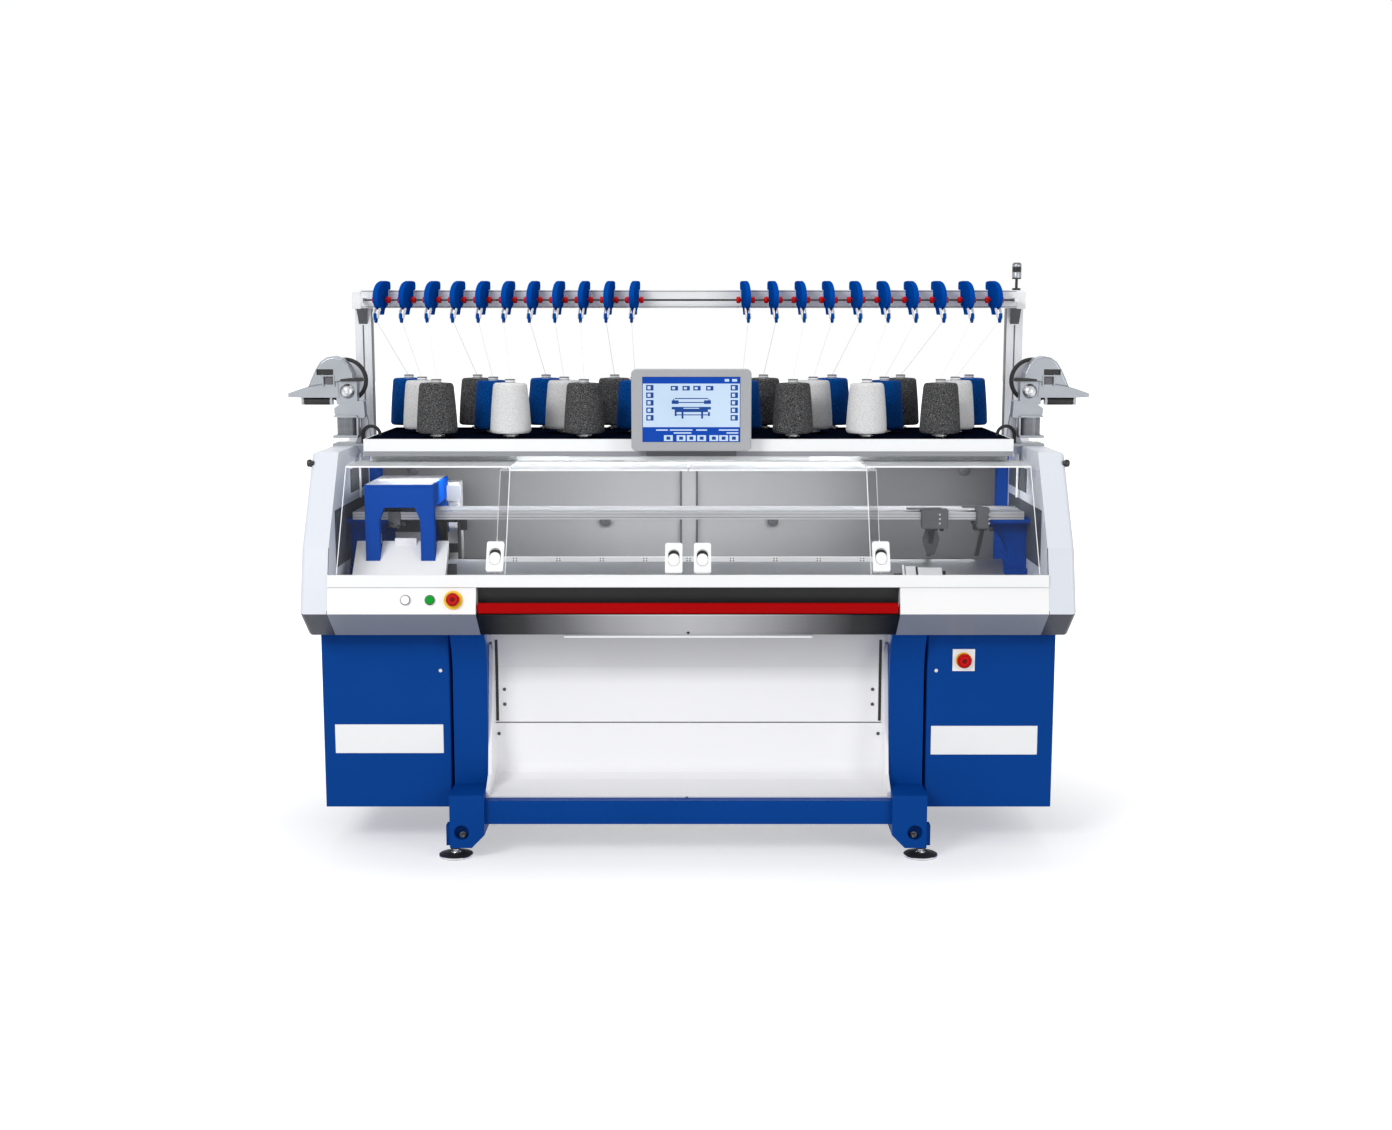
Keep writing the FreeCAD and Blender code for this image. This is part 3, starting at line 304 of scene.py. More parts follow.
# Fine lines of a lighter and a darker tone, for bare metal
nodes, given, gives = new_group(
    "drawn_lines", {"Dark": "Color", "Light": "Color", "Stretch": "Vector",
                    "Rough Low": "Float", "Rough High": "Float"},
    {"Tone": "Color", "Roughness": "Float", "Height": "Float"})
lines = nodes.noise(LINE_SCALE, LINE_DETAIL, given["Stretch"])
nodes.feed(gives["Tone"], nodes.mix(nodes.span(lines, 0.25, 0.75), given["Dark"], given["Light"]))
nodes.feed(gives["Roughness"], nodes.span(lines, 0, 1, given["Rough Low"], given["Rough High"]))
nodes.feed(gives["Height"], lines)
drawn_lines = nodes.tree


def brushed(name, colour, roughness, stretch=(1, 60, 60), metallic=1.0, strength=0.12):
    """Metal with fine lines along the axis that is stretched least."""
    metal = Surface(name, colour, roughness, metallic)
    drawn = metal.group(drawn_lines, {
        "Dark": shade(colour, 0.86), "Light": shade(colour, 1.1), "Stretch": stretch,
        "Rough Low": roughness - 0.08, "Rough High": roughness + 0.12})
    metal.put("Base Color", drawn["Tone"]).put("Roughness", drawn["Roughness"])
    return metal.raised(drawn["Height"], strength, LINE_DEPTH)


steel = brushed("steel", srgb(196, 198, 201), 0.28)


def screws(name, places, axis, radius, surface=steel, both=True, body="machine"):
    """Round screw heads with a recess."""
    head = [(0, 0.15), (0.4, 0.15), (0.45, 0.5), (0.8, 0.5), (1, 0.25)]
    profile = [(r * radius, out * radius) for r, out in head] + [(radius, -0.2)]
    piece = Piece(name, surface, body, 0, both)
    for place in places:
        piece.turned(profile, place, axis, 16)
    return piece.done()


screws("cabinet_screws", [CABINET_SCREW], (0, -1, 0), CABINET_SCREW_RADIUS)


# ---------------------------------------------------------------- levelling feet
# Each corner stands on a threaded stud in a rubber pad. A pressed and chromed rim holds the pad
# and a collar grips the stud. A dark bolt clamps each corner block from outside.
FOOT_X, FOOT_Y = 775, 405
FOOT_BOLT = (746, 440, 82)

foot_rubber = moulded("foot_rubber", srgb(30, 31, 33), 0.5, 0.4, 0.1)
chrome = brushed("chrome", srgb(226, 228, 231), 0.14, (1, 1, 8), strength=0.03)
dark_steel = brushed("dark_steel", srgb(84, 86, 90), 0.4, metallic=0.6)
dress(foot_rubber, "levelling_feet")
rims = Piece("foot_rims", chrome, bevel=0, both=True)
bolts = Piece("foot_bolts", dark_steel, bevel=0, both=True)
for way in (-1, 1):
    foot = (FOOT_X, way * FOOT_Y, 0)
    rims.turned([(57.1, 1), (57.9, 2.4), (57.9, 5.4), (56.4, 6.8), (54, 6.9)], foot, segments=48)
    rims.turned([(16, 13.6), (15, 15.2), (10.4, 15.6), (10.4, 26)], foot, segments=24)
    bolts.turned([(0, 18), (5, 18), (6.4, 16), (6.4, 0), (11, -1), (11, -8)],
                 (FOOT_BOLT[0], way * FOOT_BOLT[1], FOOT_BOLT[2]), (-0.2, way, 0.1), 16)
rims.done()
bolts.done()


# ---------------------------------------------------------------- fabric chute and roller
# The finished cloth falls behind a folded sheet cover into a tray, both painted white and held
# by dark screws. The steel take-down roller behind them draws the cloth down.
CHUTE_Y, CHUTE_KNEE, CHUTE_SEAM = -195.0, 597.0, 404.0
SLOT_FOOT, SLOT_TOP, SLOT_SHIFT = 410, (-289, 741), 10
SLOT_X = (649, 659)

# Where a point lies between two places on an axis, for painted shade and painted reflection
# that change along it
nodes, given, gives = new_group("along_axis", {"Axis": "Vector", "Low": "Float", "High": "Float"},
                                {"Along": "Float"})
place_on_axis = nodes.add("ShaderNodeVectorMath", {0: nodes.place(), 1: given["Axis"]})
place_on_axis.operation = "DOT_PRODUCT"
nodes.feed(gives["Along"], nodes.span(place_on_axis.outputs["Value"], given["Low"],
                                      given["High"]))
along_axis = nodes.tree


def painted_light_run(paint, axis, low, high, greys):
    """Paint light and shade into a paint's grey step by step along an axis, low to high in
    metres.
    """
    along = paint.group(along_axis, {"Axis": axis, "Low": low, "High": high})["Along"]
    ramp = paint.add("ShaderNodeValToRGB", {"Fac": along})
    stops = ramp.color_ramp.elements
    while len(stops) < len(greys):
        stops.new(0.5)
    for k, (stop, grey) in enumerate(zip(stops, greys)):
        stop.position = k / (len(greys) - 1)
        stop.color = srgb(grey, grey, grey + 2)
    return paint.put("Base Color", ramp.outputs["Color"])


# The chute's white carries a painted shadow, grey toward its top under the apron, and a faint
# painted shade at the tray
chute_paint = painted_light_run(painted("chute_paint", srgb(254, 254, 254), 0.4, 0.2, 0), (0, 0, 1), 0.2,
                       0.74, (238, 254, 254, 254, 253, 252, 226, 218, 212))
black_plastic = moulded("black_plastic", srgb(18, 18, 20), 0.35, 0.25, 0.1)
dress(chute_paint, "fabric_chute")
dress(steel, "take_down_roller")
Piece("chute_seam", dark_steel, bevel=0).box(
    (-660, 660), (CHUTE_Y - 0.5, CHUTE_Y + 0.5), (CHUTE_SEAM - 1.4, CHUTE_SEAM + 2.4)).done()
slots = Piece("chute_slots", black_plastic, bevel=0, both=True).prism(
    [(CHUTE_Y + 0.2, SLOT_FOOT), (CHUTE_Y + 0.2, CHUTE_KNEE), SLOT_TOP,
     (SLOT_TOP[0] - 1, SLOT_TOP[1] - 0.6), (CHUTE_Y - 0.6, CHUTE_KNEE - 0.4),
     (CHUTE_Y - 0.6, SLOT_FOOT)], "x", *SLOT_X)
for corner in slots.bm.verts:
    if corner.co.z > (CHUTE_KNEE + 10) * MM:
        corner.co.x -= SLOT_SHIFT * MM
slots.done()
screws("chute_screws", [(629, CHUTE_Y, 520), (629, CHUTE_Y, 468), (650, CHUTE_Y, 365)],
       (0, -1, 0), 6, dark_steel)
screws("tray_screws", [(-5, -398, 198.6)], (0, -0.3, 1), 5, dark_steel, both=False)


# ---------------------------------------------------------------- needle beds
# Two ground steel beds meet at a right angle on cast girders. White verge strips, held by small
# screws, edge the slot between them, and thin plates and stops are let into the front slope.
STRIP_X, STRIP_Z = (-648, 648), (941, 957)
STRIP_FRONT_Y, STRIP_BACK_Y = (-66, -59.5), (-50.5, -44)
VERGE_SCREW_Z, VERGE_SCREW_PITCH = 949.5, 150
BED_SLOPE_Z, PLATE_RISE = 1007.6, 0.7

bed_steel = brushed("bed_steel", srgb(178, 180, 183), 0.36, (1, 40, 40))
cast = moulded("cast_iron", srgb(54, 57, 62), 0.55, 0.6, 0.12, 0.5)
bar_paint = painted("bar_paint", srgb(252, 253, 254), 0.4, 0.1, 0.01)
dress(bed_steel, "needle_beds")
dress(cast, "bed_girders")
Piece("verge_strip", bar_paint, bevel=0.5).box(STRIP_X, STRIP_FRONT_Y, STRIP_Z).box(
    STRIP_X, STRIP_BACK_Y, STRIP_Z).done()
dots = [(x + dx, STRIP_FRONT_Y[0], VERGE_SCREW_Z + dz)
        for x in range(-600, 601, VERGE_SCREW_PITCH) for dx in (-5, 5) for dz in (-4, 4)]
screws("verge_screws", dots, (0, -1, 0), 2.2, black_plastic, both=False)


def on_bed(name, surface, spans):
    """Thin plates let into the front bed's slope, under the path of the carriage."""
    piece = Piece(name, surface, bevel=0)
    for x0, x1, y0, y1 in spans:
        low = [(y, y + BED_SLOPE_Z) for y in (y0, y1)]
        piece.prism(low + [(y - 0.3, z + PLATE_RISE) for y, z in low[::-1]], "x", x0, x1)
    piece.done()


on_bed("bed_plates", bar_paint, ((748, 782, -112, -80), (790, 872, -110, -84),
                                 (736, 743, -108, -76)))
on_bed("bed_stops", black_plastic, ((783, 789, -110, -82), (873, 884, -108, -94),
                                    (706, 735, -112, -102)))


# ---------------------------------------------------------------- ledge and control housings
# The ledge that the doors stand in, and a housing at each end of it, are folded sheet steel
# painted white. Their faces that lean down carry a painted shade of grey. A dark seam parts them.
SEAM_X, SEAM_Z = (683, 1161), (918.2, 919.6)

# Painted shade: a darker tone where a face leans down
nodes, given, gives = new_group("underside_shade", {"Tone": "Color", "Under": "Color"},
                                {"Tone": "Color"})
facing = nodes.add("ShaderNodeSeparateXYZ", {
    "Vector": nodes.add("ShaderNodeNewGeometry").outputs["Normal"]}).outputs["Z"]
nodes.feed(gives["Tone"], nodes.mix(nodes.span(facing, -0.4, -0.1), given["Under"],
                                    given["Tone"]))
underside_shade = nodes.tree


def painted_shade_under(paint, under):
    """Give the faces of a painted piece that lean down a painted shade, the tone under."""
    tone = paint.shader.inputs["Base Color"].links[0].from_socket
    return paint.put("Base Color", paint.group(underside_shade, {"Tone": tone, "Under": under})["Tone"])


# Both white paints carry this painted shade on their faces that lean down, wherever they are used
white_paint = painted_shade_under(painted("white_paint", srgb(250, 251, 252), 0.34, 0.2, 0.01),
                         srgb(120, 123, 130))
housing_paint = painted_shade_under(painted("housing_paint", srgb(252, 252, 253), 0.32, 0.2, 0.01),
                           srgb(140, 145, 158))
dress(white_paint, "front_ledge")
dress(housing_paint, "control_housings")
Piece("ledge_seams", black_plastic, bevel=0, both=True).box(SEAM_X, (-477.6, -476), SEAM_Z).done()


# ---------------------------------------------------------------- apron, trough and start rod
# Under the ledge a satin apron slopes back to the chute. Its grey carries a painted reflection,
# light in the middle and dark at both ends. The red painted start rod turns in a dark folded
# trough above it.
LIP_X, LIP_Y, LIP_Z = (-408, 408), (-392, -380), (736, 743)

# The apron's grey is a painted reflection: light in the middle, dark at both ends
apron_paint = painted_light_run(
    painted("apron_paint", srgb(176, 178, 181), 0.4, 0.1, 0, gloss=0.1), (1, 0, 0), -0.67, 0.67,
    (14, 54, 124, 182, 208, 220, 206, 176, 122, 42, 12))
trough_paint = painted("trough_paint", srgb(35, 35, 37), 0.38, 0.3, 0.1)
red_paint = painted("red_paint", srgb(172, 1, 4), 0.3, 0.15, 0.05, gloss=0.06)
dress(apron_paint, "lower_apron")
dress(trough_paint, "rod_trough")
dress(red_paint, "start_rod")
Piece("apron_lip", white_paint, bevel=0.6).box(LIP_X, LIP_Y, LIP_Z).done()
screws("apron_screws", [(0, -398, 755)], (0, -0.77, -0.64), 5, black_plastic, both=False)


# ---------------------------------------------------------------- buttons and emergency stops
# Start and stop buttons and one emergency stop sit in the left housing's tilted face, and a
# second stop in the right cabinet. They are moulded plastic, held from behind by their rings.
FACE_TILT = math.atan2(23, 85)
HOUSING_NORMAL = (0, -math.cos(FACE_TILT), math.sin(FACE_TILT))
BUTTON_ROW_Z = 878
STOP_X, START_X, FRONT_ESTOP_X = -909, -830, -755
ESTOP_REST = 13
CABINET_COLLAR, CABINET_ESTOP = (920, -311, 645), (920, -318, 645)


def on_face(x, out=0):
    """A point of the button row on the housing's sloping face, out millimetres off it."""
    y = -500 + (BUTTON_ROW_Z - 834) * math.tan(FACE_TILT)
    return (x, y + out * HOUSING_NORMAL[1], BUTTON_ROW_Z + out * HOUSING_NORMAL[2])


grey_plastic = moulded("grey_plastic", srgb(92, 94, 99), 0.35, 0.2, 0.04)
yellow_plastic = moulded("yellow_plastic", srgb(250, 200, 10), 0.35, 0.12)
red_plastic = moulded("red_plastic", srgb(214, 10, 14), 0.28, 0.1, gloss=0.12)
dark_red = moulded("dark_red", srgb(122, 6, 10), 0.3, 0.1, gloss=0.12)
green_plastic = moulded("green_plastic", srgb(4, 158, 44), 0.25, 0.08, gloss=0.12)
dress(white_plastic, "stop_button", "button_bezels")
dress(green_plastic, "start_button")
dress(red_plastic, "estop_front", "estop_cabinet")
# A grey ring round each of these buttons is a bezel, darkened to paint the shade at its rim
for x, word in ((STOP_X, "stop"), (START_X, "start")):
    Piece(word + "_button_ring", grey_plastic, bevel=0).turned(
        [(14.3, 4.8), (14.3, 6.6), (15.6, 6.8), (17, 4.8)], on_face(x), HOUSING_NORMAL).done(
            "bezel_chrome")
Piece("estop_collars", yellow_plastic, bevel=0).turned(
    [(9.6, 5.0), (9.6, 7.2), (28, 7.2), (30.4, 5.5), (30.4, 1)], on_face(FRONT_ESTOP_X),
    HOUSING_NORMAL, 48).turned(
    [(9.6, 0), (9.6, 0.5), (26, 0.5), (26.8, 0.2), (26.8, -1)], CABINET_COLLAR, (0, -1, 0),
    48).done()
for body, middle, axis, rim in (
        ("estop_front", on_face(FRONT_ESTOP_X, ESTOP_REST), HOUSING_NORMAL, 21.3),
        ("estop_cabinet", CABINET_ESTOP, (0, -1, 0), 24.3)):
    Piece(body + "_cap", dark_red, body, 0).turned(
        [(0, 14.4), (7, 14.2), (8.6, 12.8)], middle, axis).turned(
        [(15.6, 12.6), (16.2, 13.5), (17.6, 13.2), (18.4, 11.4)], middle, axis).turned(
        [(rim, 6.2), (rim + 0.6, 6.6), (rim + 0.6, 7.4), (rim - 0.1, 7.8)], middle, axis).done()


# ---------------------------------------------------------------- side covers
# A tall cover closes each end of the machine. It is folded sheet steel painted pale grey, with
# a dark lining inside the doors, a seam at the housing, a white pipe and a black knob outside.
COVER_EDGE = [(-380, 744), (-500, 834), (-440, 1040)]
COVER_INNER_X = (1160.6, 1162.4)
KNOB = (1238, -262, 1300)

# The covers' faces that lean down carry a painted shade of dark grey
cover_paint = painted_shade_under(painted("cover_paint", srgb(226, 230, 238), 0.3, 0.2, 0.015),
                         srgb(58, 62, 74))
lining_paint = painted("lining_paint", srgb(84, 88, 94), 0.4, 0.2, 0.04, gloss=0.1)
dress(cover_paint, "side_cover_left", "side_cover_right")
Piece("cover_knobs", black_plastic, bevel=0, both=True).turned(
    [(0, 24), (9, 24), (12, 21), (13, 12), (9, 8), (7, 0)], KNOB, (1, 0, 0), 20).done()
seam = [(y - 0.255, z + (0.12 if z > 850 else -0.15)) for y, z in COVER_EDGE]
Piece("cover_seams", black_plastic, bevel=0, both=True).prism(
    seam + [(y + 3, z) for y, z in COVER_EDGE[::-1]], "x", *COVER_INNER_X).done()
Piece("side_linings", lining_paint, bevel=1.5, both=True).box(
    (1158, 1161.8), (-60, 250), (1180, 1262)).box((1159, 1161.8), (-330, 250), (960, 1150)).done()
Piece("side_pipes", white_plastic, both=True).box((1148, 1155), (56, 63), (1152, 1304)).done()


# ---------------------------------------------------------------- back panels
# Grey painted sheet panels close the back, and lift off when their round locks are turned. They
# meet at a centre pillar with plastic edges. Painted shade darkens their grey toward both ends.
LOCK_PLACES = ((308, 1038), (1006, 1224))
PILLAR_Z = (950, 1308)

# The back panels' grey carries painted shade, lightest in the middle and darker toward both ends
panel_paint = painted_light_run(
    painted("panel_paint", srgb(160, 162, 166), 0.42, 0.2, 0, gloss=0.1), (1, 0, 0), -1.16, 1.16,
    (104, 122, 146, 160, 176, 180, 172, 158, 122, 125, 112))
dress(panel_paint, "back_panels")
locks = Piece("panel_locks", grey_plastic, bevel=0, both=True)
for x, z in LOCK_PLACES:
    for y, way in ((318, -1), (341, 1)):
        locks.turned([(0, 3), (4, 3), (6, 5), (17, 5), (20, 3), (20, 0)], (x, y, z), (0, way, 0))
locks.done()
edges = Piece("pillar_edges", grey_plastic, bevel=0.5)
for way in (-1, 1):
    edges.box(sorted((way * 28, way * 33)), (316.6, 330), PILLAR_Z)
    edges.box(sorted((way * 25, way * 28)), (316.6, 318.2), PILLAR_Z)
edges.done()


# ---------------------------------------------------------------- yarn rails
# Four drawn steel rails run over the beds, held at both ends by blue painted C brackets. Each
# rail has two fine grooves in front and one on top that guide the yarn carriers.
RAIL_FRONTS = [-155 + 52 * k for k in range(4)]
RAIL_X = (-1135, 1135)

rail_steel = brushed("rail_steel", srgb(188, 190, 194), 0.34, (1, 90, 90), 0.25, 0.2)
bow_paint = painted("bow_paint", srgb(3, 72, 170), 0.36, 0.3, gloss=0.0)
dress(rail_steel, "feed_rails")
dress(bow_paint, "rail_brackets")
grooves = Piece("rail_grooves", grey_plastic, bevel=0)
for y in RAIL_FRONTS:
    grooves.box(RAIL_X, (y - 0.4, y + 0.3), (1106, 1107.6))
    grooves.box(RAIL_X, (y - 0.4, y + 0.3), (1117, 1118.2))
    grooves.box(RAIL_X, (y + 12, y + 16), (1124.6, 1125.4))
grooves.done()


# ---------------------------------------------------------------- yarn carriers
# Two carriers slide on the front rail, and a bare clamp is parked at its other end. Each is a
# dark pressed steel plate over a black moulded clamp, with a knob to tighten it and screws.
CLAMP_X = (-1017, -976)
# Body, span of its plate, place of its arm, and lift of the plate that clears its neighbour
CARRIERS = (("yarn_carrier_1", (788, 879), 830, 0), ("yarn_carrier_2", (975, 1018), 997, 6))

plate_steel = brushed("plate_steel", srgb(88, 90, 94), 0.42, metallic=0.5)
dress(dark_steel, "yarn_carrier_1", "yarn_carrier_2")
for body, (x0, x1), arm_x, lift in CARRIERS:
    plate = Piece(body + "_plate", plate_steel, body)
    plate.box((x0 + 2, x1 - 2), (-173, -169), (1070, 1136))
    plate.box((x0 - 46, x1 - 20), (-150, -118), (1132.4 + lift, 1137 + lift))
    plate.box((x0, x1), (-172, -125), (1132, 1134 + lift))
    if body == "yarn_carrier_1":
        half = [(20, 1058), (30, 1030), (24, 1002), (12, 972)]
        plate.prism([(arm_x + x, z) for x, z in half] + [(arm_x - x, z) for x, z in half[::-1]],
                    "y", -108, -104)
    plate.done("carrier_steel")
    clamp = Piece(body + "_clamp", black_plastic, body)
    clamp.box((arm_x - 34, arm_x + 6), (-166, -120), (1082, 1090))
    clamp.box((arm_x - 26, arm_x + 16), (-160, -110), (1062, 1082))
    clamp.turned([(0, 14), (7, 12), (9, 7), (7, 2), (0, 0)], (arm_x + 30, -150, 1068),
                 (0, -1, 0), 16).done("carrier_steel")
    screws(body + "_screws", [(arm_x + 20, -173, z) for z in (1088, 1103, 1118)], (0, -1, 0), 3,
           both=False, body=body)
Piece("parked_clamp", plate_steel).box(CLAMP_X, (-162, -155.4), (1072, 1129)).box(
    CLAMP_X, (-162, -130), (1125.2, 1129)).done()
Piece("parked_knobs", black_plastic, bevel=0).turned(
    [(0, 18), (8, 16), (10, 9), (8, 2), (0, 0)], (-1008, -154, 1082), (0, -1, 0), 16).turned(
    [(0, 18), (7, 16), (8, 9), (7, 2), (0, 0)], (-984, -154, 1074), (0, -1, 0), 16).box(
    (-1012, -960), (-150, -110), (1078, 1092)).done()


# ---------------------------------------------------------------- carriage
# The carriage straddles the beds and carries the cams. White covers hide it, a blue cast bow
# reaches over the yarn rails, and a driver hook, dark plates and the drive box sit at its end.
DRIVER_WEDGE = [(-880, 1066), (-846, 1066), (-852, 1002), (-864, 1002)]
DRIVER_FORK = [(-872, 930), (-872, 966), (-864, 978), (-852, 978), (-844, 966), (-844, 930),
               (-852, 930), (-852, 961), (-862, 961), (-862, 930)]

aluminium = brushed("aluminium", srgb(222, 224, 228), 0.34, metallic=0.75)
band_paint = painted("band_paint", srgb(150, 153, 158), 0.4, 0.2, 0.02)
dress(white_paint, "carriage_covers")
dress(bow_paint, "carriage_bow")
dress(steel, "carriage_cam_plates")
# A pale aluminium plate over the bow's top paints the light reflected from its top face
Piece("bow_top_reflection", aluminium, "carriage", 0.5).box((-1078, -856), (-231, 96), (1225, 1226.2)).done()
Piece("carriage_bar", black_plastic, "carriage", 1).box(
    (-884, -800), (40, 64.6), (1066, 1088)).prism(DRIVER_WEDGE, "y", 42, 62).prism(
    DRIVER_FORK, "y", 50, 64.6).done()
Piece("carriage_plates", plate_steel, "carriage").box(
    (-811, -804), (38, 80), (930, 1084)).box((-804, -780), (58, 64), (1036, 1096)).box(
    (-832, -786), (-176, -168), (910, 950)).box((-884, -852), (44, 64.6), (980, 1000)).done()
Piece("drive_box_face", band_paint, "carriage", 1).box(
    (-852, -799), (63.6, 65.2), (1140, 1194)).box((-838, -812), (62.6, 65.2), (1112, 1132)).done()


# ---------------------------------------------------------------- drive belt and pulleys
# A rubber belt behind the beds draws the carriage along. It runs round a turned steel pulley at
# each end, which sits on a post of the girders. The feeders' leads are of the same rubber.
rubber = moulded("rubber", srgb(24, 24, 26), 0.62, 0.5, 0.1)
dress(rubber, "belt_and_leads")
dress(steel, "pulley_left", "pulley_right")


# ---------------------------------------------------------------- doors and latches
# Four sliding doors of folded clear acrylic close the front. Their cut edges and folded top carry
# painted glints and a painted reflection, and where two overlap a painted shade darkens them.
# Each has a white latch in a black well, whose black also paints the shade of its recess.
WINDOW_FOOT = (-455, 955)
WINDOW_LEAN = math.radians(31.1)
EDGE_WIDTH, EDGE_FOOT_Z = 2.6, 958
WELL_HALF, WELL_LOW_Z, WELL_HIGH_Z = 18, 983, 1031
LAP_X, LAP_LOW_Z = (3, 33), 1062
# Track, its height over the slope, top, inner and outer edge, and middle of the latch
TRACKS = (("outer", 2, 1290, 590, 1137, 625), ("inner", -10, 1278, 3, 625, 46.5))
SQUARE_ON = 0.9


def maths(nodes, operation, *values):
    """Place a sum on values, and give back its result."""
    node = nodes.add("ShaderNodeMath", dict(enumerate(values)))
    node.operation = operation
    return node.outputs[0]


# Clear sheet: faint on its faces, with painted glints on its cut edges and a painted reflection
# on its folded top, faintly smeared
nodes, given, gives = new_group("sheet_edge_glints", {"Face": "Float", "Edge": "Float", "Top": "Float"},
                                {"Alpha": "Float"})
leans = nodes.add("ShaderNodeSeparateXYZ", {
    "Vector": nodes.add("ShaderNodeNewGeometry").outputs["Normal"]}).outputs
alpha = given["Face"]
for axis, level in (("X", given["Edge"]), ("Z", given["Top"])):
    square_on = maths(nodes, "GREATER_THAN", maths(nodes, "ABSOLUTE", leans[axis]), SQUARE_ON)
    alpha = nodes.span(square_on, 0, 1, alpha, level)
smears = nodes.span(nodes.noise(3, 4), 0, 1, 0.8, 1.2)
nodes.feed(gives["Alpha"], maths(nodes, "MULTIPLY", alpha, smears))
sheet_edge_glints = nodes.tree


def clear_sheet(name, colour, face, edge, top):
    sheet = Surface(name, colour, 0.06).put("Specular IOR Level", 0.2)
    levels = {"Face": face, "Edge": edge, "Top": top}
    return sheet.put("Alpha", sheet.group(sheet_edge_glints, levels)["Alpha"])


def window_strip(low, high, out, thick):
    """A band on the doors' slope, between two heights, out millimetres off its plane."""
    def y(z, off):
        rise = (z - WINDOW_FOOT[1]) * math.tan(WINDOW_LEAN)
        return WINDOW_FOOT[0] + rise - off / math.cos(WINDOW_LEAN)
    return [(y(low, out), low), (y(high, out), high), (y(high, out + thick), high),
            (y(low, out + thick), low)]


door_clear = clear_sheet("door_clear", srgb(243, 247, 249), 0.008, 0.8, 0.93)
lap_tint = clear_sheet("lap_tint", srgb(96, 98, 102), 0.2, 0.2, 0.2)
for side, way in (("left", -1), ("right", 1)):
    for place, out, top, inner_x, outer_x, latch_x in TRACKS:
        door = "door_%s_%s" % (side, place)
        dress(door_clear, door)
        dress(white_plastic, door.replace("door", "latch_plate"),
              door.replace("door", "latch_thumb"))
        # White strips along the upright edges and the top are painted glints on the cut acrylic
        upright_edges = (outer_x,) if place == "inner" else (inner_x + EDGE_WIDTH, outer_x)
        edges = Piece(door + "_edges", bar_paint, door, 0)
        for x in upright_edges:
            edges.prism(window_strip(EDGE_FOOT_Z, top, out, 0.5), "x",
                        *sorted((way * (x - EDGE_WIDTH), way * x)))
        edges.prism(window_strip(top - 5, top, out, 0.5), "x",
                    *sorted((way * inner_x, way * outer_x))).done()
        # A black plate behind each latch is its back plate, and also paints the shade of its
        # recess
        Piece(door + "_latch_well", black_plastic, door, 0).prism(
            window_strip(WELL_LOW_Z, WELL_HIGH_Z, out + 0.05, 0.3), "x",
            *sorted((way * (latch_x - WELL_HALF), way * (latch_x + WELL_HALF)))).done()
        if place == "outer":
            # A grey strip paints the shade where an outer door lies over its inner neighbour
            Piece(door + "_lap", lap_tint, door, 0).prism(
                window_strip(LAP_LOW_Z, top - 6, out + 0.2, 0.3), "x",
                *sorted(way * (inner_x + x) for x in LAP_X)).done()


# ---------------------------------------------------------------- cone table
# The table over the back is folded sheet steel painted white, with a glossy dark inlay that the
# cones stand on and a grey band in front that paints the shade under its edge. A light strip and
# the screen's foot are fixed to it.
table_gloss = painted("table_gloss", srgb(9, 15, 30), 0.3, 0.05, 0.1, gloss=0.0)
dress(white_paint, "cone_table")
Piece("table_inlay", table_gloss, bevel=0.6).box(
    (-1098, 1098), (-92, 508), (1367.6, 1368.6)).done()
# A grey strip along the table's lower front edge paints the shade under it
Piece("table_shade_band", band_paint, bevel=0.6).box(
    (-1104, 1104), (-105.8, -104.6), (1310.2, 1327)).done()
Piece("screen_stand", grey_plastic, bevel=1.5).box(
    (-142, 162), (-128, -105.2), (1312, 1331)).done()
Piece("door_light", white_paint, bevel=1).box((-405, 410), (-100, -84), (1296, 1309.5)).done()


# ---------------------------------------------------------------- yarn cones
# Twenty-two packages of yarn stand in three rows. Each is wound in crossing turns on a tube,
# which leaves soft shoulders, a slightly uneven side and, in the mixed yarns, pale flecks.
CONE_HEIGHT, CONE_BASE_Z = 171, 1385
CONE_LOW_RADIUS, CONE_HIGH_RADIUS = 70.5, 58.5
CONE_PITCH, CONE_FIRST = 84.3, 190
CONE_ROWS = (-25, 200, 425)
TUBE_RADIUS = 17
CONE_STEPS = 26
rng = random.Random(7)

# Crossing turns of yarn: painted shade in the hollows between the turns, and flecks of a paler
# and a darker tone
nodes, given, gives = new_group(
    "wound_turns", {"Dark": "Color", "Colour": "Color", "Fleck": "Color", "Hollow Shade": "Float"},
    {"Tone": "Color", "Height": "Float"})
wave = nodes.add("ShaderNodeTexWave", {"Vector": nodes.place(), "Scale": 170, "Distortion": 3.5,
                                       "Detail": 3, "Detail Scale": 2.5})
wave.wave_type = "BANDS"
wave.bands_direction = "Z"
flecks = nodes.noise(230, 5, (1, 1, 4.2))
tone = nodes.mix(nodes.span(flecks, 0.4, 0.5), given["Dark"], given["Colour"])
tone = nodes.mix(nodes.span(flecks, 0.5, 0.64), tone, given["Fleck"])
nodes.feed(gives["Tone"], nodes.mix(given["Hollow Shade"], tone, wave.outputs["Color"], "MULTIPLY"))
nodes.feed(gives["Height"], maths(nodes, "ADD", wave.outputs["Fac"], flecks))
wound_turns = nodes.tree


def wound_yarn(name, colour, fleck, hollow_shade=0.45, depth=0.5):
    yarn = Surface(name, colour, 0.9).put("Sheen Weight", 0.03).put("Sheen Roughness", 0.5)
    turns = yarn.put("Specular IOR Level", 0.05).group(wound_turns, {
        "Dark": shade(colour, depth), "Colour": colour, "Fleck": fleck, "Hollow Shade": hollow_shade})
    return yarn.put("Base Color", turns["Tone"]).raised(turns["Height"], 0.5, 0.0014)


